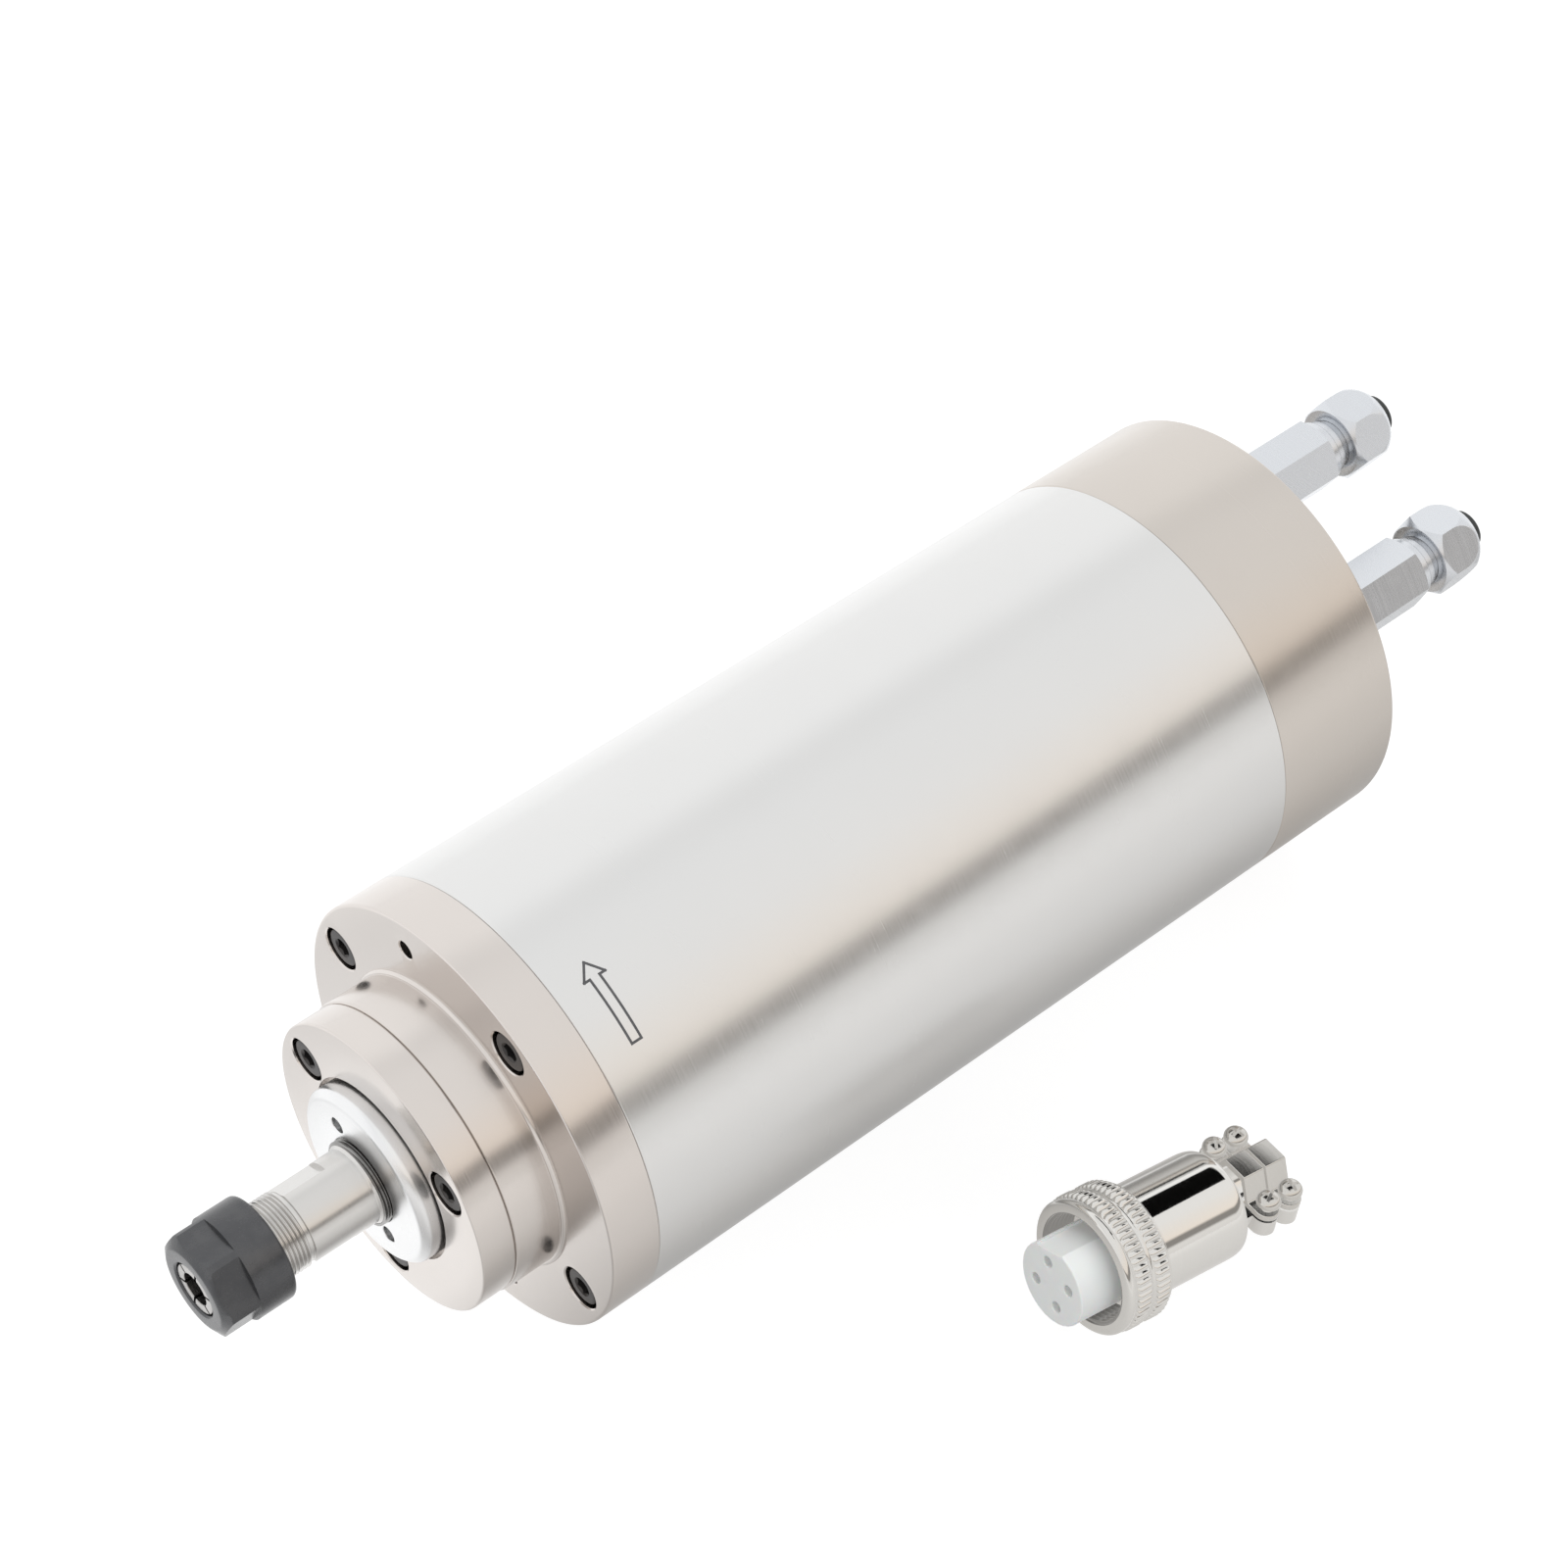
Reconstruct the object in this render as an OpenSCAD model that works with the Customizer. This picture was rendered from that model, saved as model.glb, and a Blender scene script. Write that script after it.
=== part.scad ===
// Water-cooled motor spindle, 80 mm barrel, with a small hex-nut collet chuck, and its loose power plug.
// The spindle lies on its side: its axis is the X axis, the nose points to -X and the floor is half a
// barrel below the axis. x = 0 is the middle of the barrel tube.

/* [Body] */
// Outside diameter of the barrel tube and of both caps
body_d = 80; // [80:0.5:92]
// Length of the barrel tube between the caps
barrel_len = 142.4; // [142:0.2:190]
// Wall of the barrel tube
barrel_wall = 3; // [2.5:0.25:3.5]
// Thickness of the front cap's rim
front_cap_len = 9.6; // [8:0.1:12]
// Length of the rear cap behind the barrel
rear_cap_len = 27.2; // [25:0.2:34]
// Chamfer on the front cap's front edge
front_chamfer = 0.5; // [0.2:0.1:1]
// Small chamfer on the edges at the two seams
seam_chamfer = 0.2; // [0.1:0.05:0.4]
// How far the spindle has rolled about its axis as it lies
roll = 26.5; // [0:0.5:60]

/* [Neck and flange] */
// Diameter of the neck that carries the front bearings
neck_d = 54.8; // [53:0.2:58]
// Length of the neck from the cap's face to the flange
neck_len = 9.5; // [8:0.1:12]
// Bevel at the root of the neck
neck_root = 0.7; // [0.3:0.1:1.2]
// Diameter of the bearing flange
flange_d = 54.2; // [53:0.2:58]
// Thickness of the bearing flange
flange_len = 6.5; // [6.1:0.1:9]
// Chamfer on the flange's edges
flange_chamfer = 0.4; // [0.2:0.1:0.8]
// Length of the flange's spigot inside the neck
flange_spigot = 2; // [1.5:0.1:3]
// Radius on which the flange screws sit
flange_screw_r = 21.5; // [21.5:0.1:22.5]
// Number of flange screws
flange_screws_n = 3; // [3:1:6]

/* [Screws] */
// Nominal diameter of the socket-head screws
screw_d = 4; // [3:0.5:4]
// Diameter of their heads
head_d = 7; // [5.5:0.1:7.2]
// Height of their heads
head_len = 4; // [3:0.1:4]
// Size across the flats of the hex socket
socket_af = 3; // [2:0.5:3]
// Depth of the hex socket
socket_depth = 2.2; // [1.5:0.1:2.5]
// How far the heads sit below the surface
head_sunk = 0.4; // [0:0.1:0.8]
// Space between a head and its counterbore
head_play = 0.5; // [0.2:0.05:0.6]
// Space between a screw's shank and the hole it passes
hole_play = 0.25; // [0.1:0.05:0.4]
// Length of thread that holds a screw
screw_grip = 9; // [7:0.5:10]
// Number of screws in each cap
cap_screws_n = 4; // [4:1:4]
// Radius of the tapped jack-screw holes in the front cap
jack_r = 1.65; // [1.2:0.05:1.8]

/* [Fits] */
// Radial space between pieces that are put together to stay
fit = 0.03; // [0.02:0.01:0.05]
// Radial space between pieces that turn or slide on each other
run = 0.05; // [0.03:0.01:0.08]

/* [Front bearings] */
// Bore of the front bearings
fb_bore = 17; // [17:0.5:18]
// Outside diameter of the front bearings
fb_od = 35; // [34:0.5:35]
// Width of each front bearing
fb_w = 10; // [9:0.5:10]
// Diameter of the balls in all bearings
ball_d = 4.76; // [4:0.01:4.8]
// Number of balls in each row
balls_n = 11; // [9:1:12]
// Length of the spacers between the two front bearings
spacer_len = 2; // [1.5:0.5:3]

/* [Rear bearing] */
// Bore of the rear bearing
rb_bore = 15; // [14:0.5:15]
// Outside diameter of the rear bearing
rb_od = 32; // [31:0.5:33]
// Width of the rear bearing
rb_w = 9; // [8.5:0.5:10]
// Thickness of the preload wave spring's space
spring_len = 2.4; // [2:0.1:3]
// Thickness of the wave spring's strip
spring_thick = 0.4; // [0.3:0.05:0.6]

/* [Motor] */
// Length of the stator and rotor cores
core_len = 80; // [60:1:80]
// Bore of the stator core
stator_bore = 35; // [33:0.5:37]
// Air gap between the stator and the rotor
air_gap = 0.3; // [0.2:0.05:0.5]
// Number of stator slots
slots_n = 24; // [18:6:24]
// Width of a stator slot
slot_w = 2.6; // [2:0.1:2.8]
// How far the end turns of the windings reach past the core
end_turn_len = 12; // [8:0.5:14]
// Diameter of the shaft inside the rotor core
core_shaft_d = 20; // [19:0.5:22]
// Length of the rotor's end rings
end_ring_len = 5; // [3:0.5:6]

/* [Water jacket] */
// Wall of the jacket, between the barrel and the stator core
jacket_wall = 7; // [7:0.1:8]
// Number of channels along the jacket
channels_n = 8; // [8:2:8]
// Depth of the channels
channel_depth = 3.5; // [2:0.25:3.5]
// Angle of the wall that is left between two channels
land_angle = 8; // [5:1:12]
// Depth of the recess that the rear bearing seat lies in
seat_recess = 9; // [8:0.5:10]
// Section of the rubber rings that seal the jacket
seal_d = 1.44; // [1.2:0.02:1.6]

/* [Nose] */
// Diameter of the dust disc
disc_d = 32.8; // [30:0.1:33]
// Gap round the dust disc in the flange
disc_gap = 0.7; // [0.4:0.1:0.8]
// How far the disc stands out of the flange
disc_proud = 3.6; // [3:0.1:5]
// Bevel round the disc's face
disc_bevel = 1.2; // [0.5:0.1:1.8]
// Diameter of the two spanner holes in the disc
spanner_d = 3; // [2:0.1:3.4]
// Diameter of the shaft's nose thread
nose_thread_d = 13.8; // [13.4:0.1:14]
// Thread that shows behind the nut
thread_show = 4.9; // [2:0.1:6]
// Diameter of the shaft between the nut and the disc
nose_d = 13.8; // [13.4:0.1:14]
// Length of the shaft between the nut and the disc
nose_len = 19.8; // [17:0.1:24]
// Size across the two wrench flats on the shaft
flats_af = 12.2; // [12:0.1:13]
// Length of the wrench flats
flats_len = 8.2; // [6:0.1:10]
// Diameter of the thread that the disc is screwed on
disc_thread_d = 15.7; // [15:0.1:16.4]

/* [Collet chuck] */
// Diameter of the nut
nut_d = 19; // [19:0.1:20]
// Size across the nut's flats
nut_af = 17; // [16:0.1:17.4]
// Length of the nut
nut_len = 13.4; // [12.6:0.1:15]
// Length of the nut's flats
nut_hex_len = 6.4; // [5:0.1:7.5]
// Opening in the front of the nut
nut_mouth_d = 10; // [9.8:0.1:10.6]
// Width of the slanted bevel round the nut's face
nut_bevel = 2; // [1.4:0.1:2.4]
// Bore of the collet, which is the tool's shank diameter
collet_bore = 6; // [3:0.1:6.35]
// Largest diameter of the collet's taper
collet_d = 11.4; // [11.2:0.1:11.5]
// Length of the collet
collet_len = 18; // [17:0.1:18.5]
// Half angle of the collet's taper
taper_angle = 8; // [7.5:0.1:8]
// Width of the slots in the collet
slit_w = 0.5; // [0.4:0.05:0.7]
// Angle of the first slot in the face, from the side towards the top
slit_turn = 15; // [10:1:20]
// Number of slots from each end of the collet
slits_n = 6; // [4:1:6]

/* [Water fittings] */
// Distance of the fittings' axes from the body's edge
fitting_inset = 10; // [9.5:0.1:11]
// Half of the angle between the two fittings
fitting_spread = 26.2; // [22:0.2:35]
// Size across the flats of the fitting's hex stud
stud_af = 12; // [11:0.1:12.4]
// Length of the hex stud
stud_hex_len = 16; // [12:0.5:20]
// Size across the flats of the bullet-shaped nut
bullet_af = 13.6; // [13:0.1:14.6]
// Length of the bullet-shaped nut
bullet_len = 10.3; // [9.5:0.1:12]
// Diameter of the bullet's small end
bullet_end_d = 8.8; // [8.6:0.1:9.6]
// Outside diameter of the hose that the fittings take
hose_d = 6; // [5:0.1:6.2]
// Diameter of the black release collar
collar_d = 7.7; // [7.4:0.1:7.9]
// How far the release collar stands out of the nut
collar_show = 2; // [1.6:0.1:3]
// Thickness of the seal under each stud
stud_seal = 1; // [0.8:0.1:1.5]

/* [Power socket] */
// Distance of the socket's axis from the wall of the cavity behind it
socket_inset = 14.4; // [14:0.1:15.4]
// Diameter of the socket's thread
socket_d = 19.6; // [19:0.1:19.8]
// Bore of the socket
socket_bore = 16.6; // [16:0.1:17]
// How far the socket's threaded rim stands out of its flange
socket_len = 10; // [8:0.5:12]
// Size across the flats of the socket's hex flange
socket_flange_af = 23; // [22:0.5:24]
// Thickness of that flange
socket_flange_len = 2.6; // [2:0.1:4]
// Radius of the circle of contacts
contact_r = 4.2; // [3.8:0.1:4.4]
// Number of contacts
contacts_n = 4; // [3:1:4]
// Diameter of a contact pin
pin_d = 1.9; // [1.4:0.1:2]

/* [Power plug] */
// Outside diameter of the plug's coupling ring
ring_d = 25; // [24.6:0.1:27]
// Length of the coupling ring
ring_len = 9.8; // [9:0.1:12]
// Smooth lip in front of the knurls
ring_lip = 1.6; // [1:0.1:2.4]
// Diameter of the insulating insert
insert_d = 15.2; // [14.6:0.1:15.6]
// How far the insert stands out of the ring
insert_proud = 6.6; // [4:0.1:7.5]
// Diameter of the plug's shell
shell_d = 19.8; // [19.4:0.1:21]
// Length of the shell's smooth barrel
shell_len = 19.6; // [16:0.1:26]
// Length of the cable clamp behind the shell
clamp_len = 12.6; // [12:0.1:15]
// Bore of the cable clamp
cable_d = 8; // [6:0.1:8.4]
// Thickness of the clamp's two straps
strap_thick = 1.2; // [0.8:0.1:1.5]
// Width of each strap
strap_w = 4.6; // [3.6:0.1:4.8]
// Number of ridges round each knurled band
knurl_n = 60; // [36:4:72]
// Direction in which the plug points on the floor
plug_turn = -4.5; // [-20:0.5:20]
// Place of the middle of the ring's front face on the floor
plug_x = -10.4; // [-30:0.1:30]
// Distance of that point in front of the spindle's axis
plug_y = -75.7; // [-95:0.1:-70]

/* [Hidden] */
$fn = 96;
eps = 0.01;
over = 1;

body_r = body_d / 2;
seat_step = 1.4;
floor_z = -body_r;
sleeve_r = body_r - barrel_wall - fit;
stator_r = body_r - barrel_wall - jacket_wall;
seat_r = stator_r + seat_step;
seam_front = -barrel_len / 2;
seam_rear = barrel_len / 2;
cap_face = seam_front - front_cap_len;
neck_face = cap_face - neck_len;
flange_face = neck_face - flange_len;
rear_face = seam_rear + rear_cap_len;

// Screws
screw_r = screw_d / 2;
hole_r = screw_r + hole_play;
tap_r = screw_r + fit;
sink_r = head_d / 2 + head_play;
sink_depth = head_len + head_sunk;
cap_screw_r = (sleeve_r + seat_r) / 2;
jack_turn = 45;
flange_turn = 1.5;

// Front bearings, from the flange's spigot back to the shoulder in the neck
fb_r = fb_od / 2;
fb_front = neck_face + flange_spigot;
fb_second = fb_front + fb_w + spacer_len;
shoulder = fb_second + fb_w;
shoulder_wall = 4;
hub_end = shoulder + shoulder_wall;
hub_r = fb_r + 4.5;
cap_spigot_len = 6;
cap_spigot_end = seam_front + cap_spigot_len;
fb_wall = race_wall(fb_bore, fb_od);
ball_r = ball_d / 2;
cage_wall = 1.5;
pocket_play = 0.15;

// Motor
jacket_bore_r = stator_r + fit;
core_mid = -2;
core_front = core_mid - core_len / 2;
core_rear = core_mid + core_len / 2;
rotor_r = stator_bore / 2 - air_gap;
core_shaft_r = core_shaft_d / 2;
slot_open_w = 1.2;
slot_floor_r = stator_r - 4;
slot_top_r = stator_bore / 2 + 1.2;
winding_play = 0.2;
end_turn_out_r = stator_r - 2;
end_turn_in_r = stator_bore / 2 + 2.5;

// Water jacket
seat_shoulder = seam_rear - seat_recess;
seat_plate_len = 6;
channel_inset = 16.2;
channel_front = seam_front + channel_inset;
channel_end = seam_rear - channel_inset;
turn_len = 5;
channel_step = 360 / channels_n;
seal_r = seal_d / 2;
seal_at = 13;
seal_groove_w = seal_d + 0.8;
feed_r = 1.5;
feed_at_r = seat_r + feed_r + 0.7;

// Rear bearing and shaft tail
rb_r = rb_od / 2;
rb_wall = race_wall(rb_bore, rb_od);
rb_front = seat_shoulder + 1.8;
rb_rear = rb_front + rb_w;
seat_lip = 1.6;
seat_front = rb_front - spring_len - seat_lip;
seat_hub_r = rb_r + 4;
lock_len = 5;
lock_r = rb_bore / 2 + 3.5;
tail_end = rb_rear + lock_len + 1.6;

// Rear cap
fitting_r = body_r - fitting_inset;
port_r = 4;
port_wall = 1.6;
cavity_r = fitting_r - port_r - port_wall;
rear_wall = 8;
cavity_end = rear_face - rear_wall;
rear_spigot_front = seat_shoulder + seat_plate_len + eps;

// Nose of the shaft
disc_r = disc_d / 2;
recess_depth = 2.2;
recess_r = disc_r + disc_gap;
disc_face = flange_face - disc_proud;
disc_rear = flange_face + recess_depth - 0.6;
disc_hub_r = 11.8;
flange_bore_r = disc_hub_r + 0.4;
nut_rear = disc_face - nose_len;
nut_front = nut_rear - nut_len;
nut_bevel_angle = 30;
thread_end = nut_rear + thread_show;
undercut_len = 0.8;
undercut_r = nose_thread_d / 2 - 0.6;
flats_front = thread_end + undercut_len;
flats_turn = 52 - roll;
disc_thread_show = 1.1;
spanner_at_r = 10.4;
spanner_turn = 56 - roll;
spanner_depth = 2.5;

// Collet, measured back from its front face
collet_face = nut_front + 0.3;
head_angle = 30;
head_cone_dr = 1;
head_cone_len = head_cone_dr / tan(head_angle);
head_r = collet_d / 2 - 0.1;
groove_depth = 0.9;
groove_r = head_r - groove_depth;
head_len_c = 2.3;
groove_len = 1.2;
lip_play = 0.1;
taper_start = collet_face + head_len_c + groove_len + 0.6;
mouth = taper_start + 0.3;
taper_play = 0.05;
tool_bore_depth = 34;

// Water fittings, measured back from the cap's rear face
port_depth = 14;
water_r = 2.2;
stud_front = rear_face + stud_seal;
stud_hex_end = stud_front + stud_hex_len;
collar_1_len = 1.6;
collar_2_len = 1.7;
bullet_gap = 1.2;
stud_neck_r = 4.6;
bullet_front = stud_hex_end + collar_1_len + collar_2_len + bullet_gap;
bullet_end = bullet_front + bullet_len;
stem_end = bullet_front + 6.3;
pocket_front = stem_end + 0.9;
collar_front = pocket_front + 1.4;

// Power socket
socket_off = cavity_r - socket_inset;
socket_wall_in = cavity_end - 6;
socket_rim = rear_face + socket_flange_len + socket_len;
socket_floor = rear_face + socket_flange_len;
socket_ledge = 4;
socket_nut_len = 3;
socket_nut_wall = 1.3;
pin_turn = 61;
key_turn = 70;
key_w = 6.2;
key_r = insert_d / 2 - 1.1;
key_play = 0.2;

// Power plug, measured back from the insert's front face
ring_front_s = insert_proud;
ring_rear_s = ring_front_s + ring_len;
ring_web = 2.2;
ring_thread_r = socket_d / 2 + 0.25;
neck_s = ring_rear_s - ring_web - 1.6;
neck_r = shell_d / 2 - 1.3;
shell_front_s = ring_rear_s + 0.3;
shell_rear_s = shell_front_s + shell_len;
clamp_end_s = shell_rear_s + clamp_len;
insert_len = neck_s + 7;
clamp_wall = 2.4;
trough_play = 0.25;
back_wall = 3;
clamp_r = cable_d / 2 + clamp_wall;
clamp_screw_d = 2.5;
clamp_head_d = 4.3;
clamp_head_len = 1.8;
clamp_screw_y = clamp_r + clamp_screw_d / 2 - 0.6;
ear_top = 0.6;
ear_thick = 3.2;
strap_seat = ear_top + 0.3;
strap_top = clamp_r;
head_seat = strap_seat + strap_thick + 1.2;
tip_below = 1.5;
strap_step = strap_w + 0.4;
rest_s = ring_rear_s - 0.5;
shell_round = 2.4;
plug_tilt = min(rest_tilt(shell_d / 2, shell_rear_s - shell_round), rest_tilt(clamp_r, clamp_end_s));
plug_z = floor_z + ring_d / 2 * cos(plug_tilt) + (rest_s - ring_front_s) * sin(plug_tilt);

// Turns an outline of [radius, x] points about the X axis
module lathe(points) { rotate([0, 90, 0]) rotate_extrude() polygon(points); }

// A plain ring or disc about the X axis
module ring(r_in, r_out, x0, x1) {
    lathe([[r_in, x0], [r_out, x0], [r_out, x1], [r_in, x1]]);
}

// A round bar or hole along X
module rod(r, x0, x1) { translate([x0, 0, 0]) rotate([0, 90, 0]) cylinder(r = r, h = x1 - x0); }

// A hexagonal bar along X, given by the size across its flats
module hexbar(af, x0, x1) {
    translate([x0, 0, 0]) rotate([0, 90, 0]) cylinder(r = af / sqrt(3), h = x1 - x0, $fn = 6);
}

// Copies of a shape on a circle about the X axis; angles run from +Y towards +Z
module round_x(n, r, turn = 0) {
    for (i = [0 : n - 1]) rotate([turn + i * 360 / n, 0, 0]) translate([0, r, 0]) children();
}

// Everything that belongs to the spindle lies rolled about its axis
module rolled() { rotate([roll, 0, 0]) children(); }

// A socket-head screw along +X whose head rests at x = 0
module cap_screw(len) {
    c = 0.4;
    difference() {
        lathe([[0, -head_len], [head_d / 2 - c, -head_len], [head_d / 2, -head_len + c], [head_d / 2, 0],
            [screw_r, 0], [screw_r, len - c], [screw_r - c, len], [0, len]]);
        hexbar(socket_af, -head_len - over, -head_len + socket_depth);
    }
}

// The hole for such a screw: counterbore, then a clearance hole, along +X from the surface at x = 0
module screw_hole(len) {
    rod(sink_r, -over, sink_depth);
    rod(hole_r, 0, len + over);
}

module front_cap() color([0.80, 0.76, 0.71]) rolled() {
    end = max(cap_spigot_end, hub_end);
    difference() {
        union() {
            lathe([[0, neck_face], [neck_d / 2 - flange_chamfer, neck_face],
                [neck_d / 2, neck_face + flange_chamfer], [neck_d / 2, cap_face - neck_root],
                [neck_d / 2 + neck_root, cap_face], [body_r - front_chamfer, cap_face],
                [body_r, cap_face + front_chamfer], [body_r, seam_front - seam_chamfer],
                [body_r - seam_chamfer, seam_front], [0, seam_front]]);
            rod(stator_r, seam_front - eps, cap_spigot_end);
            rod(hub_r, seam_front - eps, end);
        }
        rod(fb_r + fit, neck_face - over, shoulder);
        rod(fb_r - fb_wall - 0.4, shoulder - eps, end + over);
        ring(hub_r + 1.5, stator_r - 4, seam_front + 1, cap_spigot_end + over);
        round_x(cap_screws_n, cap_screw_r) translate([cap_face, 0, 0]) screw_hole(front_cap_len);
        round_x(2, cap_screw_r, jack_turn) rod(jack_r, cap_face - over, seam_front + over);
        round_x(flange_screws_n, flange_screw_r, flange_turn)
            rod(tap_r, neck_face - over, neck_face + screw_grip);
    }
}

module front_flange() color([0.82, 0.79, 0.74]) rolled() difference() {
    lathe([[flange_bore_r, flange_face + recess_depth], [recess_r, flange_face + recess_depth],
        [recess_r, flange_face], [flange_d / 2 - flange_chamfer, flange_face],
        [flange_d / 2, flange_face + flange_chamfer], [flange_d / 2, neck_face - flange_chamfer],
        [flange_d / 2 - flange_chamfer, neck_face], [fb_r, neck_face],
        [fb_r, fb_front], [fb_r - fb_wall, fb_front], [fb_r - fb_wall, neck_face],
        [flange_bore_r, neck_face]]);
    round_x(flange_screws_n, flange_screw_r, flange_turn)
        translate([flange_face, 0, 0]) screw_hole(flange_len);
}

module barrel() color([0.84, 0.85, 0.86]) lathe([
    [body_r - barrel_wall, seam_front], [body_r - seam_chamfer, seam_front],
    [body_r, seam_front + seam_chamfer], [body_r, seam_rear - seam_chamfer],
    [body_r - seam_chamfer, seam_rear], [body_r - barrel_wall, seam_rear]]);

// One water channel along the jacket, and the pocket through the wall to the next one, which lies at the
// front and the rear end by turns, so that the water winds round the whole stator
module channel(i) {
    span = channel_step - land_angle;
    floor_r = sleeve_r - channel_depth;
    start = 90 + (i + 0.5) * channel_step - span / 2;
    x0 = i % 2 == 0 ? channel_front + 1 : channel_end - turn_len - 1;
    rotate([start, 0, 0]) sector(floor_r, sleeve_r + over, channel_front, channel_end, span);
    if (i < channels_n - 1) rotate([start + span - 2, 0, 0])
        sector(floor_r + 0.4, sleeve_r + over, x0, x0 + turn_len, land_angle + 4);
}

// Part of a ring about X that starts at +Y and turns towards +Z by the angle given
module sector(r_in, r_out, x0, x1, angle) {
    rotate([90, 0, 90]) translate([0, 0, x0]) rotate_extrude(angle = angle)
        translate([r_in, 0]) square([r_out - r_in, x1 - x0]);
}

module water_jacket() color([0.72, 0.74, 0.76]) rolled() difference() {
    ring(jacket_bore_r, sleeve_r, seam_front, seam_rear);
    rod(seat_r + fit, seat_shoulder, seam_rear + over);
    for (i = [0 : channels_n - 1]) channel(i);
    for (x = [seam_front + seal_at, seam_rear - seal_at])
        ring(sleeve_r - seal_d, sleeve_r + over, x - seal_groove_w / 2, x + seal_groove_w / 2);
    round_x(cap_screws_n, cap_screw_r) {
        rod(tap_r, seam_front - over, seam_front + screw_grip + over);
        rod(tap_r, seam_rear - screw_grip - over, seam_rear + over);
    }
    for (side = [-1, 1]) rotate([90 + side * fitting_spread, 0, 0]) translate([0, feed_at_r, 0])
        rod(feed_r, channel_end - over, seam_rear + over);
}

module jacket_seals() color([0.12, 0.12, 0.12])
    for (x = [seam_front + seal_at, seam_rear - seal_at]) torus(sleeve_r - seal_r + fit / 2, seal_r, x);

// A ring of round section about the X axis
module torus(r, section_r, x) {
    translate([x, 0, 0]) rotate([0, 90, 0]) rotate_extrude() translate([r, 0]) circle(r = section_r);
}

module rear_cap() color([0.79, 0.75, 0.70]) rolled() difference() {
    union() {
        lathe([[0, seam_rear], [body_r - seam_chamfer, seam_rear], [body_r, seam_rear + seam_chamfer],
            [body_r, rear_face - seam_chamfer], [body_r - seam_chamfer, rear_face], [0, rear_face]]);
        rod(seat_r - fit, rear_spigot_front, seam_rear + eps);
    }
    rod(cavity_r, rear_spigot_front - over, cavity_end);
    round_x(cap_screws_n, cap_screw_r) translate([rear_face, 0, 0]) rotate([0, 0, 180])
        screw_hole(rear_cap_len);
    for (side = [-1, 1]) rotate([90 + side * fitting_spread, 0, 0]) {
        translate([0, fitting_r, 0]) rod(port_r + fit, rear_face - port_depth, rear_face + over);
        translate([0, feed_at_r, 0]) rod(feed_r, seam_rear - over, rear_face - port_depth + 2);
    }
    translate([0, 0, -socket_off]) rod(socket_d / 2 + fit, cavity_end - over, rear_face + over);
}

module rear_bearing_seat() color([0.70, 0.71, 0.72]) rolled() difference() {
    lathe([[rb_r - rb_wall, seat_front], [seat_hub_r, seat_front], [seat_hub_r, seat_shoulder],
        [seat_r, seat_shoulder], [seat_r, seat_shoulder + seat_plate_len],
        [seat_hub_r, seat_shoulder + seat_plate_len], [seat_hub_r, rb_rear + 1.2],
        [rb_r + fit, rb_rear + 1.2], [rb_r + fit, seat_front + seat_lip],
        [rb_r - rb_wall, seat_front + seat_lip]]);
    round_x(3, (seat_hub_r + seat_r) / 2 - 0.5, 30)
        rod(3, seat_shoulder - over, seat_shoulder + seat_plate_len + over);
}

module front_cap_screws() color([0.13, 0.13, 0.14]) rolled()
    round_x(cap_screws_n, cap_screw_r) translate([cap_face + sink_depth, 0, 0])
        cap_screw(front_cap_len - sink_depth + screw_grip);

module flange_screws() color([0.13, 0.13, 0.14]) rolled()
    round_x(flange_screws_n, flange_screw_r, flange_turn) translate([flange_face + sink_depth, 0, 0])
        cap_screw(flange_len - sink_depth + screw_grip - 1);

module rear_cap_screws() color([0.13, 0.13, 0.14]) rolled()
    round_x(cap_screws_n, cap_screw_r) translate([rear_face - sink_depth, 0, 0]) rotate([0, 0, 180])
        cap_screw(rear_cap_len - sink_depth + screw_grip);

module shaft() color([0.78, 0.77, 0.75]) rolled() difference() {
    lathe([[0, mouth], [undercut_r, mouth], [nose_thread_d / 2, mouth + 0.6],
        [nose_thread_d / 2, thread_end], [undercut_r, thread_end],
        [undercut_r, thread_end + undercut_len], [nose_d / 2, thread_end + undercut_len],
        [nose_d / 2, disc_face - disc_thread_show - 0.7],
        [disc_thread_d / 2, disc_face - disc_thread_show], [disc_thread_d / 2, fb_front - 4],
        [fb_bore / 2, fb_front - 4], [fb_bore / 2, shoulder], [core_shaft_r + 0.5, shoulder],
        [core_shaft_r + 0.5, shoulder + 6], [core_shaft_r, shoulder + 6],
        [core_shaft_r, core_rear + end_ring_len + 2], [core_shaft_r - 0.5, core_rear + end_ring_len + 2],
        [core_shaft_r - 0.5, rb_front], [rb_bore / 2, rb_front], [rb_bore / 2, rb_rear],
        [rb_bore / 2 - 0.2, rb_rear], [rb_bore / 2 - 0.2, tail_end - 0.6],
        [rb_bore / 2 - 0.8, tail_end], [0, tail_end]]);
    taper_bore();
    rod(collet_bore / 2 + 0.5, mouth, collet_face + tool_bore_depth);
    rotate([flats_turn, 0, 0]) for (side = [-1, 1])
        translate([flats_front, side * (flats_af / 2 + nose_d / 2) - nose_d / 2, -nose_d])
            cube([flats_len, nose_d, 2 * nose_d]);
}

// The cone in the shaft's nose that the collet is pulled into
module taper_bore() {
    len = collet_len - (mouth - collet_face) + 0.4;
    r0 = collet_d / 2 - 0.3 * tan(taper_angle) + taper_play;
    translate([mouth - eps, 0, 0]) rotate([0, 90, 0])
        cylinder(r1 = r0, r2 = r0 - len * tan(taper_angle), h = len);
}

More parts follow.
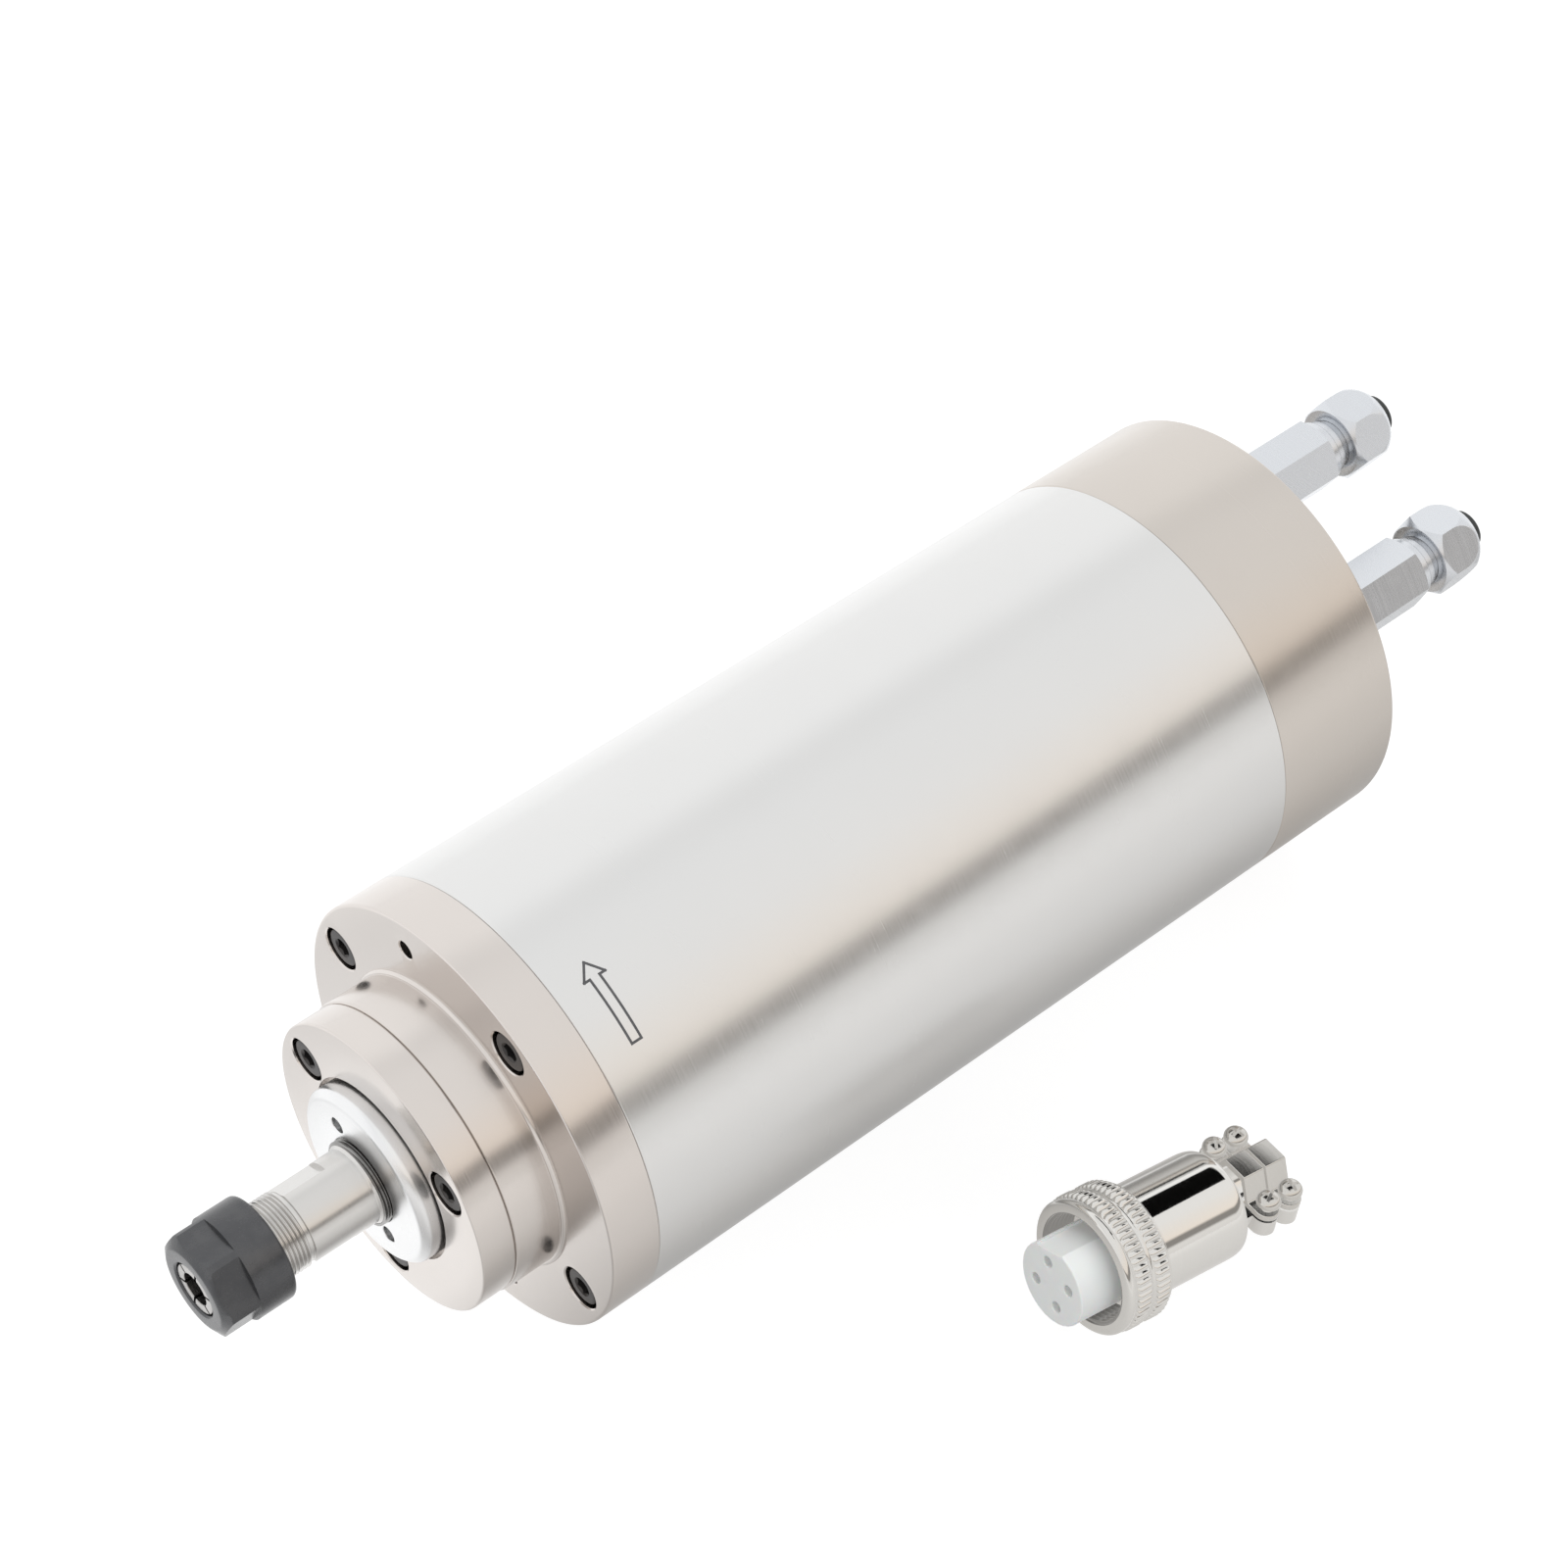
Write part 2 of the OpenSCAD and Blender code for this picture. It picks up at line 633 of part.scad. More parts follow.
module dust_disc() color([0.87, 0.88, 0.88]) rolled() difference() {
    lathe([[disc_thread_d / 2 + fit, disc_face], [disc_r - disc_bevel, disc_face],
        [disc_r, disc_face + disc_bevel], [disc_r, disc_rear], [disc_hub_r, disc_rear],
        [disc_hub_r, fb_front], [fb_bore / 2 + fit, fb_front], [fb_bore / 2 + fit, fb_front - 4],
        [disc_thread_d / 2 + fit, fb_front - 4]]);
    round_x(2, spanner_at_r, spanner_turn) rod(spanner_d / 2, disc_face - over, disc_face + spanner_depth);
}

// Thickness of a bearing's rings
function race_wall(bore, od) = (od - bore) * 0.15;

// Inner and outer rings of a bearing with their raceways, and its cage and balls
module inner_ring(bore, od, w, x) difference() {
    ring(bore / 2 + fit / 3, bore / 2 + race_wall(bore, od), x, x + w);
    torus((bore + od) / 4, ball_r + fit, x + w / 2);
}

module outer_ring(bore, od, w, x) difference() {
    ring(od / 2 - race_wall(bore, od), od / 2, x, x + w);
    torus((bore + od) / 4, ball_r + fit, x + w / 2);
}

module balls(bore, od, w, x)
    translate([x + w / 2, 0, 0]) round_x(balls_n, (bore + od) / 4) sphere(r = ball_r);

module cage(bore, od, w, x) difference() {
    ring((bore + od) / 4 - cage_wall / 2, (bore + od) / 4 + cage_wall / 2, x + 0.8, x + w - 0.8);
    translate([x + w / 2, 0, 0]) round_x(balls_n, 0) rotate([-90, 0, 0])
        cylinder(r = ball_r + pocket_play, h = od);
}

module front_inner_rings() color([0.66, 0.67, 0.69]) for (x = [fb_front, fb_second])
    inner_ring(fb_bore, fb_od, fb_w, x);
module front_outer_rings() color([0.64, 0.65, 0.67]) for (x = [fb_front, fb_second])
    outer_ring(fb_bore, fb_od, fb_w, x);
module front_balls() color([0.86, 0.86, 0.88]) for (x = [fb_front, fb_second])
    balls(fb_bore, fb_od, fb_w, x);
module front_cages() color([0.55, 0.35, 0.18]) for (x = [fb_front, fb_second])
    cage(fb_bore, fb_od, fb_w, x);
module rear_inner_ring() color([0.66, 0.67, 0.69]) inner_ring(rb_bore, rb_od, rb_w, rb_front);
module rear_outer_ring() color([0.64, 0.65, 0.67]) outer_ring(rb_bore, rb_od, rb_w, rb_front);
module rear_balls() color([0.86, 0.86, 0.88]) balls(rb_bore, rb_od, rb_w, rb_front);
module rear_cage() color([0.55, 0.35, 0.18]) cage(rb_bore, rb_od, rb_w, rb_front);

module inner_spacer() color([0.70, 0.70, 0.72])
    ring(fb_bore / 2 + fit / 3, fb_bore / 2 + fb_wall - 0.3, fb_front + fb_w, fb_second);
module outer_spacer() color([0.70, 0.70, 0.72])
    ring(fb_r - fb_wall + 0.3, fb_r, fb_front + fb_w, fb_second);

// The preload spring: a flat ring bent into three waves between the seat's lip and the outer ring
module wave_spring() color([0.45, 0.46, 0.48]) {
    n = 48;
    r_in = rb_r - rb_wall + 0.3;
    r_out = rb_r - 0.3;
    mid = (seat_front + seat_lip + rb_front) / 2;
    swing = (spring_len - spring_thick) / 2;
    points = [for (i = [0 : n - 1]) let (a = i * 360 / n, x = mid + swing * cos(3 * a))
        for (c = [[r_in, -1], [r_out, -1], [r_out, 1], [r_in, 1]])
            [x + c[1] * spring_thick / 2, c[0] * cos(a), c[0] * sin(a)]];
    faces = [for (i = [0 : n - 1]) for (k = [0 : 3]) let (a = 4 * i, b = 4 * ((i + 1) % n), m = (k + 1) % 4)
        [a + k, a + m, b + m, b + k]];
    polyhedron(points, faces);
}

module lock_nut() color([0.35, 0.36, 0.38]) difference() {
    ring(rb_bore / 2 - 0.2 + fit, lock_r, rb_rear, rb_rear + lock_len);
    round_x(4, lock_r) translate([rb_rear + 1, -1.5, -1.25]) cube([lock_len, 3, 2.5]);
}

module rotor_core() color([0.50, 0.51, 0.54]) ring(core_shaft_r + fit / 3, rotor_r, core_front, core_rear);

module rotor_end_rings() color([0.78, 0.79, 0.80]) {
    ring(core_shaft_r + 0.6, rotor_r - 0.5, core_front - end_ring_len, core_front);
    ring(core_shaft_r + 0.6, rotor_r - 0.5, core_rear, core_rear + end_ring_len);
}

// Outline of one stator slot, open towards the rotor; play shrinks it to the wire's outline
module slot_outline(play) {
    w = slot_w / 2 - play;
    translate([slot_top_r + play, -w]) square([slot_floor_r - slot_top_r - 2 * play, 2 * w]);
}

module along_x(x0, len) translate([x0, 0, 0]) rotate([90, 0, 90]) linear_extrude(len) children();

module stator_core() color([0.40, 0.42, 0.46]) rolled() along_x(core_front, core_len) difference() {
    circle(r = stator_r);
    circle(r = stator_bore / 2);
    for (i = [0 : slots_n - 1]) rotate(i * 360 / slots_n) {
        slot_outline(0);
        translate([stator_bore / 2 - over, -slot_open_w / 2])
            square([slot_top_r - stator_bore / 2 + 2, slot_open_w]);
    }
}

module windings() color([0.72, 0.38, 0.16]) rolled() {
    c = 2;
    bar_end = 3.3;
    for (x = [core_front - end_turn_len, core_rear]) lathe([
        [end_turn_in_r + c, x], [end_turn_out_r - c, x], [end_turn_out_r, x + c],
        [end_turn_out_r, x + end_turn_len - c], [end_turn_out_r - c, x + end_turn_len],
        [end_turn_in_r + c, x + end_turn_len], [end_turn_in_r, x + end_turn_len - c],
        [end_turn_in_r, x + c]]);
    for (i = [0 : slots_n - 1]) rotate([i * 360 / slots_n, 0, 0])
        along_x(core_front - bar_end, core_len + 2 * bar_end) slot_outline(winding_play);
}

module collet() color([0.62, 0.62, 0.63]) rolled() {
    r = collet_d / 2;
    groove = collet_face + head_len_c;
    rear = collet_face + collet_len;
    difference() {
        lathe([[collet_bore / 2, collet_face], [head_r - head_cone_dr, collet_face],
            [head_r, collet_face + head_cone_len], [head_r, groove], [groove_r, groove],
            [groove_r, groove + groove_len], [r, groove + groove_len], [r, taper_start],
            [r - (rear - taper_start) * tan(taper_angle), rear], [collet_bore / 2, rear]]);
        for (i = [0 : slits_n - 1]) rotate([slit_turn + i * 360 / slits_n, 0, 0]) {
            translate([collet_face - over, 0, -slit_w / 2]) cube([collet_len - 3 + over, r + over, slit_w]);
            rotate([180 / slits_n, 0, 0]) translate([taper_start, 0, -slit_w / 2])
                cube([collet_len, r + over, slit_w]);
        }
    }
}

// The nut bears on the collet's front cone, and an off-centre lip in it hooks into the collet's groove
module collet_nut() color([0.13, 0.13, 0.14]) rolled() {
    r = nut_d / 2;
    cone_r = head_r + taper_play;
    cone_end = collet_face + head_cone_len;
    mouth_r = nut_mouth_d / 2;
    groove = collet_face + head_len_c;
    lip_shift = 0.45;
    difference() {
        lathe([[0, nut_front], [r - nut_bevel, nut_front],
            [r, nut_front + nut_bevel * tan(nut_bevel_angle)],
            [r, nut_rear - 0.8], [r - 0.8, nut_rear], [0, nut_rear]]);
        difference() {
            rod(r + over, nut_front - over, nut_front + nut_hex_len);
            hexbar(nut_af, nut_front - 2 * over, nut_front + nut_hex_len + over);
        }
        lathe([[0, nut_front - over], [mouth_r + 0.3 + over, nut_front - over], [mouth_r, nut_front + 0.3],
            [mouth_r, cone_end - (cone_r - mouth_r) / tan(head_angle)], [cone_r, cone_end],
            [cone_r, groove + lip_play], [0, groove + lip_play]]);
        translate([0, 0, lip_shift]) rod(groove_r + lip_play + lip_shift, groove, groove + groove_len);
        rod(cone_r + lip_play, groove + groove_len - lip_play, mouth);
        rod(nose_thread_d / 2 + run, mouth - 0.4, nut_rear + over);
    }
}

// Places a fitting at its port; side is -1 for the inlet and 1 for the outlet
module at_port(side) rolled() rotate([90 + side * fitting_spread, 0, 0])
    translate([0, fitting_r, 0]) children();

module fitting_stud() {
    e = stud_af / sqrt(3);
    difference() {
        union() {
            rod(port_r, rear_face - port_depth + 1.6, stud_front + eps);
            intersection() {
                hexbar(stud_af, stud_front, stud_hex_end);
                lathe([[0, stud_front], [e - 0.5, stud_front], [e, stud_front + 0.4],
                    [e, stud_hex_end - 0.5], [e - 0.8, stud_hex_end], [0, stud_hex_end]]);
            }
            rod(stud_af / 2 - 0.3, stud_hex_end - eps, stud_hex_end + collar_1_len);
            rod(stud_neck_r + 0.5, stud_hex_end, stud_hex_end + collar_1_len + collar_2_len);
            rod(stud_neck_r, stud_hex_end, stem_end);
        }
        rod(water_r, rear_face - port_depth, stem_end + over);
    }
}

module fitting_seal() ring(port_r + fit, stud_af / 2 + 0.4, rear_face, stud_front);

// The nut's outline swells behind its front rim and then closes like a bullet
module fitting_nut() {
    r = bullet_af / sqrt(3);
    end_r = bullet_end_d / 2;
    n = 10;
    straight = 4;
    nose = [for (i = [0 : n]) let (a = i * 90 / n)
        [end_r + (r - end_r) * cos(a), bullet_front + straight + (bullet_len - straight) * sin(a)]];
    difference() {
        intersection() {
            lathe(concat([[0, bullet_front], [r - 1.3, bullet_front], [r, bullet_front + 1.6]], nose,
                [[0, bullet_end]]));
            hexbar(bullet_af, bullet_front - over, bullet_end + over);
        }
        rod(stud_neck_r + run, bullet_front - over, stem_end + 0.2);
        rod(hose_d / 2 + run, stem_end, bullet_end + over);
        rod(collar_d / 2 + run, pocket_front, bullet_end + over);
    }
}

module fitting_collar() {
    r = collar_d / 2;
    end = bullet_end + collar_show;
    lathe([[hose_d / 2 + run, collar_front], [r, collar_front], [r, end - 0.5], [r - 0.4, end],
        [hose_d / 2 + 0.3, end], [hose_d / 2 + run, end - 0.4]]);
}

module inlet_stud() color([0.80, 0.82, 0.84]) at_port(-1) fitting_stud();
module outlet_stud() color([0.80, 0.82, 0.84]) at_port(1) fitting_stud();
module inlet_seal() color([0.10, 0.10, 0.10]) at_port(-1) fitting_seal();
module outlet_seal() color([0.10, 0.10, 0.10]) at_port(1) fitting_seal();
module inlet_nut() color([0.83, 0.85, 0.88]) at_port(-1) fitting_nut();
module outlet_nut() color([0.83, 0.85, 0.88]) at_port(1) fitting_nut();
module inlet_collar() color([0.14, 0.16, 0.16]) at_port(-1) fitting_collar();
module outlet_collar() color([0.14, 0.16, 0.16]) at_port(1) fitting_collar();

module at_socket() rolled() translate([0, 0, -socket_off]) children();

module socket_shell() color([0.80, 0.80, 0.80]) at_socket() {
    difference() {
        union() {
            rod(socket_d / 2, socket_wall_in, socket_floor);
            hexbar(socket_flange_af, rear_face, socket_floor);
            lathe([[0, socket_floor - eps], [socket_d / 2, socket_floor - eps],
                [socket_d / 2, socket_rim - 0.5], [socket_d / 2 - 0.5, socket_rim], [0, socket_rim]]);
        }
        rod(socket_bore / 2 - 1, socket_wall_in - over, socket_floor - socket_ledge);
        difference() {
            rod(socket_bore / 2, socket_floor - socket_ledge, socket_rim + over);
            rotate([key_turn, 0, 0])
                translate([socket_floor + fit, key_r + key_play, -key_w / 2 + key_play])
                cube([socket_len - 1, socket_bore, key_w - 2 * key_play]);
        }
    }
}

module socket_insert() color([0.16, 0.16, 0.17]) at_socket() difference() {
    union() {
        rod(socket_bore / 2 - 1 - fit, socket_wall_in + 1, socket_floor - socket_ledge + 1);
        rod(socket_bore / 2 - fit, socket_floor - socket_ledge + eps, socket_floor);
    }
    round_x(contacts_n, contact_r, pin_turn) rod(pin_d / 2 + fit, socket_wall_in, socket_floor + over);
}

module socket_pins() color([0.80, 0.66, 0.34]) at_socket()
    round_x(contacts_n, contact_r, pin_turn) lathe([
        [0, socket_wall_in - 2], [pin_d / 2, socket_wall_in - 2], [pin_d / 2, socket_rim - 1.6],
        [pin_d / 2 - 0.5, socket_rim - 1], [0, socket_rim - 1]]);

module socket_nut() color([0.76, 0.76, 0.76]) at_socket() difference() {
    hexbar(socket_d + 2 * socket_nut_wall, cavity_end - socket_nut_len, cavity_end);
    rod(socket_d / 2 + fit, cavity_end - socket_nut_len - over, cavity_end + over);
}

// Slope at which the plug rests on its ring and on an edge of radius r at the place s
function rest_tilt(r, s) = atan((ring_d / 2 - r) / (s - rest_s));

// The plug lies on its coupling ring and on the back of its shell, so its axis slopes
module plug_place() translate([plug_x, plug_y, plug_z]) rotate([0, plug_tilt, plug_turn])
    translate([-ring_front_s, 0, 0]) children();

// A knurled band: a round bar with straight ridges along it
module knurled(r, depth, x0, x1) along_x(x0, x1 - x0)
    polygon([for (i = [0 : 2 * knurl_n - 1]) let (a = i * 180 / knurl_n, q = i % 2 == 0 ? r : r - depth)
        [q * cos(a), q * sin(a)]]);

module plug_ring() color([0.80, 0.80, 0.79]) plug_place() {
    r = ring_d / 2;
    depth = 0.35;
    lip_end = ring_front_s + ring_lip;
    band = (ring_len - ring_lip - 1.6) / 2;
    difference() {
        union() {
            lathe([[0, ring_front_s], [r - 0.7, ring_front_s], [r - 0.3, ring_front_s + 0.4],
                [r - 0.3, lip_end - 0.3], [r - 0.6, lip_end], [0, lip_end]]);
            rod(r - 0.6, lip_end - eps, ring_rear_s - 0.4);
            knurled(r, depth, lip_end + 0.3, lip_end + 0.3 + band);
            knurled(r, depth, ring_rear_s - 0.5 - band, ring_rear_s - 0.5);
            lathe([[0, ring_rear_s - 0.5], [r - 0.4, ring_rear_s - 0.5], [r - 0.9, ring_rear_s],
                [0, ring_rear_s]]);
        }
        rod(ring_thread_r, ring_front_s - over, ring_rear_s - ring_web);
        rod(neck_r + run, ring_rear_s - ring_web - over, ring_rear_s + over);
    }
}

// Where the two straps of the clamp sit along the plug
function clamp_rows() = [clamp_end_s - strap_w / 2 - strap_step, clamp_end_s - strap_w / 2];

// A lug with a round end for each clamp screw, from z0 to z1
module clamp_ears(s, z0, z1) for (side = [-1, 1]) {
    translate([s, side * clamp_screw_y, z0]) cylinder(r = strap_w / 2, h = z1 - z0);
    translate([s - strap_w / 2, min(0, side * clamp_screw_y), z0]) cube([strap_w, clamp_screw_y, z1 - z0]);
}

// The holes for the clamp screws, with the space given round them
module clamp_holes(play) for (s = clamp_rows()) for (side = [-1, 1])
    translate([s, side * clamp_screw_y, -clamp_r]) cylinder(r = clamp_screw_d / 2 + play, h = 3 * clamp_r);

module plug_shell() color([0.80, 0.80, 0.80]) plug_place() {
    r = shell_d / 2;
    back = shell_rear_s;
    difference() {
        union() {
            lathe([[0, neck_s], [neck_r + 0.7, neck_s], [neck_r + 0.7, neck_s + 1.2],
                [neck_r, neck_s + 1.2], [neck_r, shell_front_s], [r - 0.3, shell_front_s],
                [r, shell_front_s + 0.3], [r, back - shell_round], [r - 0.3, back - 1.1],
                [r - 1.2, back - 0.2], [r - 1.8, back], [0, back]]);
            difference() {
                union() {
                    rod(clamp_r, back - eps, clamp_end_s);
                    for (s = clamp_rows()) clamp_ears(s, ear_top - ear_thick, ear_top);
                }
                translate([back + 1, -r, ear_top]) cube([2 * clamp_len, 2 * r, r]);
            }
        }
        rod(insert_d / 2 + fit, neck_s - over, back - back_wall);
        rod(cable_d / 2, back - back_wall - over, back + eps);
        rod(cable_d / 2 + trough_play, back, clamp_end_s + over);
        clamp_holes(fit);
    }
}

// Each strap is bent from flat bar: two ears and a flat-topped arch over the cable
module plug_straps() color([0.74, 0.74, 0.72]) plug_place() difference() {
    t = strap_thick;
    foot = clamp_screw_y - clamp_head_d / 2 - 0.2;
    top = foot - 2.2;
    for (s = clamp_rows()) {
        along_x(s - strap_w / 2, strap_w) difference() {
            polygon([[-foot - t, strap_seat], [-foot - t, strap_seat + t], [-foot, strap_seat + t],
                [-top, strap_top], [top, strap_top], [foot, strap_seat + t],
                [foot + t, strap_seat + t], [foot + t, strap_seat]]);
            polygon([[-foot + 0.3, strap_seat - t], [-foot + 0.3, strap_seat], [-top + 0.6, strap_top - t],
                [top - 0.6, strap_top - t], [foot - 0.3, strap_seat], [foot - 0.3, strap_seat - t]]);
        }
        difference() {
            clamp_ears(s, strap_seat, strap_seat + t);
            translate([s - strap_w, -foot, -t]) cube([2 * strap_w, 2 * foot, 4 * t]);
        }
    }
    clamp_holes(0.2);
}

module plug_screws() color([0.78, 0.78, 0.77]) plug_place() {
    tip = ear_top - ear_thick - tip_below - head_seat;
    r = clamp_screw_d / 2;
    head = clamp_head_d / 2;
    for (s = clamp_rows()) for (side = [-1, 1])
    translate([s, side * clamp_screw_y, head_seat]) difference() {
        rotate_extrude() polygon([[0, tip], [r - 0.3, tip], [r, tip + 0.3], [r, 0], [head, 0],
            [head, clamp_head_len * 0.5], [head - 0.5, clamp_head_len * 0.85],
            [head - 1.3, clamp_head_len], [0, clamp_head_len]]);
        for (a = [30, 120]) rotate([0, 0, a]) translate([-1.3, -0.3, clamp_head_len - 0.9])
            cube([2.6, 0.6, 2]);
    }
}

module plug_insert() color([0.84, 0.85, 0.85]) plug_place() difference() {
    lathe([[0, 0], [insert_d / 2 - 0.4, 0], [insert_d / 2, 0.4], [insert_d / 2, insert_len],
        [0, insert_len]]);
    rotate([key_turn, 0, 0]) translate([-over, key_r, -key_w / 2]) cube([neck_s - 1, insert_d, key_w]);
    round_x(contacts_n, contact_r, pin_turn) rod(pin_d / 2 + 0.1, -over, insert_len + over);
}

module plug_contacts() color([0.80, 0.66, 0.34]) plug_place()
    round_x(contacts_n, contact_r, pin_turn) rod(pin_d / 2 + 0.1 - fit, 9, insert_len + 3);

front_cap();
front_flange();
barrel();
water_jacket();
rear_cap();
rear_bearing_seat();
jacket_seals();
front_cap_screws();
flange_screws();
rear_cap_screws();
shaft();
dust_disc();
front_inner_rings();
front_outer_rings();
inner_spacer();
outer_spacer();
front_balls();
front_cages();
rotor_core();
rotor_end_rings();
stator_core();
windings();
rear_inner_ring();
rear_outer_ring();
rear_balls();
rear_cage();
wave_spring();
lock_nut();
collet();
collet_nut();
inlet_stud();
inlet_seal();
inlet_nut();
inlet_collar();
outlet_stud();
outlet_seal();
outlet_nut();
outlet_collar();
socket_shell();
socket_insert();
socket_pins();
socket_nut();
plug_ring();
plug_shell();
plug_insert();
plug_contacts();
plug_straps();
plug_screws();
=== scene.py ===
import math

import bmesh
import bpy
from mathutils import Matrix, Vector


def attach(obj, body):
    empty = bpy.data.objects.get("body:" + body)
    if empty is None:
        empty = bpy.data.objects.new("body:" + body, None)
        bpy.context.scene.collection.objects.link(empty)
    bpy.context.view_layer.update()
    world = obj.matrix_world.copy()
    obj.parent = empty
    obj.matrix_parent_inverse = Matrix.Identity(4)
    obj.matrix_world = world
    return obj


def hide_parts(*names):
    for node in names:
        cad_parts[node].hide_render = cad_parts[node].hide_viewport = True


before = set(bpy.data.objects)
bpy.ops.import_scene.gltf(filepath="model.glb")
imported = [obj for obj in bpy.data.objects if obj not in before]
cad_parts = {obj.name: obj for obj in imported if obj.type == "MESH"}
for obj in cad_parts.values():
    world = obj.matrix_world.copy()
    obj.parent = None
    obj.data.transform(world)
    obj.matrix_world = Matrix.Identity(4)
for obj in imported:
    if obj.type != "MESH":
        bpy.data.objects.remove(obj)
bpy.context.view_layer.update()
scene = bpy.context.scene
scene.view_settings.view_transform = "Standard"

# Studio
# The spindle lies on a white table in a white room. A narrow darker band in the room gives the metal its
# streak. The camera looks down from the front left, past the nose; its tilt is taken from straight down.
EYE, LENS = (-0.2988, -0.3337, 0.5024), 89.35
TILT, HEADING = 43.079, -40.815
camera = bpy.data.objects.new("camera", bpy.data.cameras.new("camera"))
scene.collection.objects.link(camera)
camera.data.lens = LENS
camera.matrix_world = (Matrix.Translation(EYE) @ Matrix.Rotation(math.radians(HEADING), 4, "Z")
                       @ Matrix.Rotation(math.radians(TILT), 4, "X"))
scene.camera = camera


class Wire:
    """One socket of a shader tree; sums on it add Math nodes, and node() adds any other node."""

    def __init__(self, tree, socket=None):
        self.tree, self.socket = tree, socket

    def node(self, kind, settings=(), sockets=(), out=0):
        made = self.tree.nodes.new("ShaderNode" + kind)
        for key, value in dict(settings).items():
            if key == "stops":
                ramp = made.color_ramp.elements
                while len(ramp) < len(value):
                    ramp.new(1)
                for stop, (at, colour) in zip(ramp, value):
                    stop.position, stop.color = at, (*colour, 1)
            else:
                setattr(made, key, value)
        for key, value in dict(sockets).items():
            if isinstance(value, Wire):
                self.tree.links.new(value.socket, made.inputs[key])
            else:
                made.inputs[key].default_value = value
        return Wire(self.tree, made.outputs[out])

    def math(self, operation, *values):
        return self.node("Math", {"operation": operation}, dict(enumerate(values)))

    def __add__(self, other):
        return self.math("ADD", self, other)

    def __radd__(self, other):
        return self.math("ADD", other, self)

    def __sub__(self, other):
        return self.math("SUBTRACT", self, other)

    def __rsub__(self, other):
        return self.math("SUBTRACT", other, self)

    def __mul__(self, other):
        return self.math("MULTIPLY", self, other)

    def __rmul__(self, other):
        return self.math("MULTIPLY", other, self)

    def __truediv__(self, other):
        return self.math("DIVIDE", self, other)

    def __pow__(self, other):
        return self.math("POWER", self, other)

    def split(self):
        parts = self.node("SeparateXYZ", (), {"Vector": self}).socket.node
        return [Wire(self.tree, socket) for socket in parts.outputs]

    def blend(self, low, high):
        """Goes from the first colour to the second as this value goes from 0 to 1."""
        return self.node("Mix", {"data_type": "RGBA"}, {0: self, 6: low, 7: high}, out=2)


def grey(level, warm=0.0):
    return (level * (1 + warm), level, level * (1 - warm))


# What the metal reflects, by angle about the barrel's axis: 0 is level behind it and 0.5 level in front
BRIGHT, ROOM = 1.18, 0.45
studio = bpy.data.worlds.new("studio")
scene.world = studio
studio.use_nodes = True
sky = Wire(studio.node_tree)
_, side, up = sky.node("TexCoord", out="Generated").split()
height = up.math("ARCTAN2", up, side) / math.tau
bands = height.node("ValToRGB", {"stops": (
    (0.00, grey(0.99)), (0.14, grey(0.99)), (0.18, grey(0.85)), (0.23, grey(0.90)),
    (0.33, grey(0.90, 0.01)), (0.38, grey(0.88, 0.05)), (0.425, grey(0.87, 0.09)), (0.437, grey(0.28, 0.06)),
    (0.461, grey(0.28, 0.05)), (0.473, grey(0.82, 0.02)), (0.50, grey(0.78, 0.02)))}, {"Fac": height})
rays = sky.node("LightPath").socket.node
seen = Wire(studio.node_tree, rays.outputs["Is Camera Ray"])
mirrored = Wire(studio.node_tree, rays.outputs["Is Glossy Ray"])
room = mirrored.blend((*grey(ROOM), 1), bands)
backdrop = seen.blend(room, (1, 1, 1, 1))
glow = backdrop.node("Background", (), {"Color": backdrop, "Strength": BRIGHT})
studio.node_tree.links.new(glow.socket, studio.node_tree.nodes["World Output"].inputs["Surface"])


def softbox(name, place, size, watts):
    """A lamp that faces the middle of the spindle, and that neither the camera nor metal sees."""
    lamp = bpy.data.lights.new(name, "AREA")
    lamp.shape, lamp.energy = "RECTANGLE", watts
    lamp.size, lamp.size_y = size
    holder = bpy.data.objects.new(name, lamp)
    scene.collection.objects.link(holder)
    holder.location = place
    holder.rotation_euler = (-Vector(place)).to_track_quat("-Z", "Y").to_euler()
    holder.visible_camera = holder.visible_glossy = False


LAMP_WATTS = 7.0
softbox("key", (0.25, 0.55, 1.15), (1.9, 0.7), LAMP_WATTS)
softbox("front", (0.35, -1.35, 0.50), (1.8, 0.42), LAMP_WATTS)
softbox("end", (-1.5, -0.25, 0.55), (0.9, 0.7), LAMP_WATTS)


def sheet(name, x_span, front, back, colour):
    """A flat matt sheet along X between a front and a back edge, each given as (y, z)."""
    bm = bmesh.new()
    (x0, x1), (y0, z0), (y1, z1) = x_span, front, back
    corners = ((x0, y0, z0), (x1, y0, z0), (x1, y1, z1), (x0, y1, z1))
    bm.faces.new([bm.verts.new(corner) for corner in corners])
    mesh = bpy.data.meshes.new(name)
    bm.to_mesh(mesh)
    bm.free()
    made = bpy.data.objects.new(name, mesh)
    scene.collection.objects.link(made)
    coat = bpy.data.materials.new(name)
    coat.use_nodes = True
    shader = coat.node_tree.nodes["Principled BSDF"]
    shader.inputs["Base Color"].default_value = (*colour, 1)
    shader.inputs["Roughness"].default_value = 1.0
    shader.inputs["Specular IOR Level"].default_value = 0.0
    mesh.materials.append(coat)
    return made, coat.node_tree


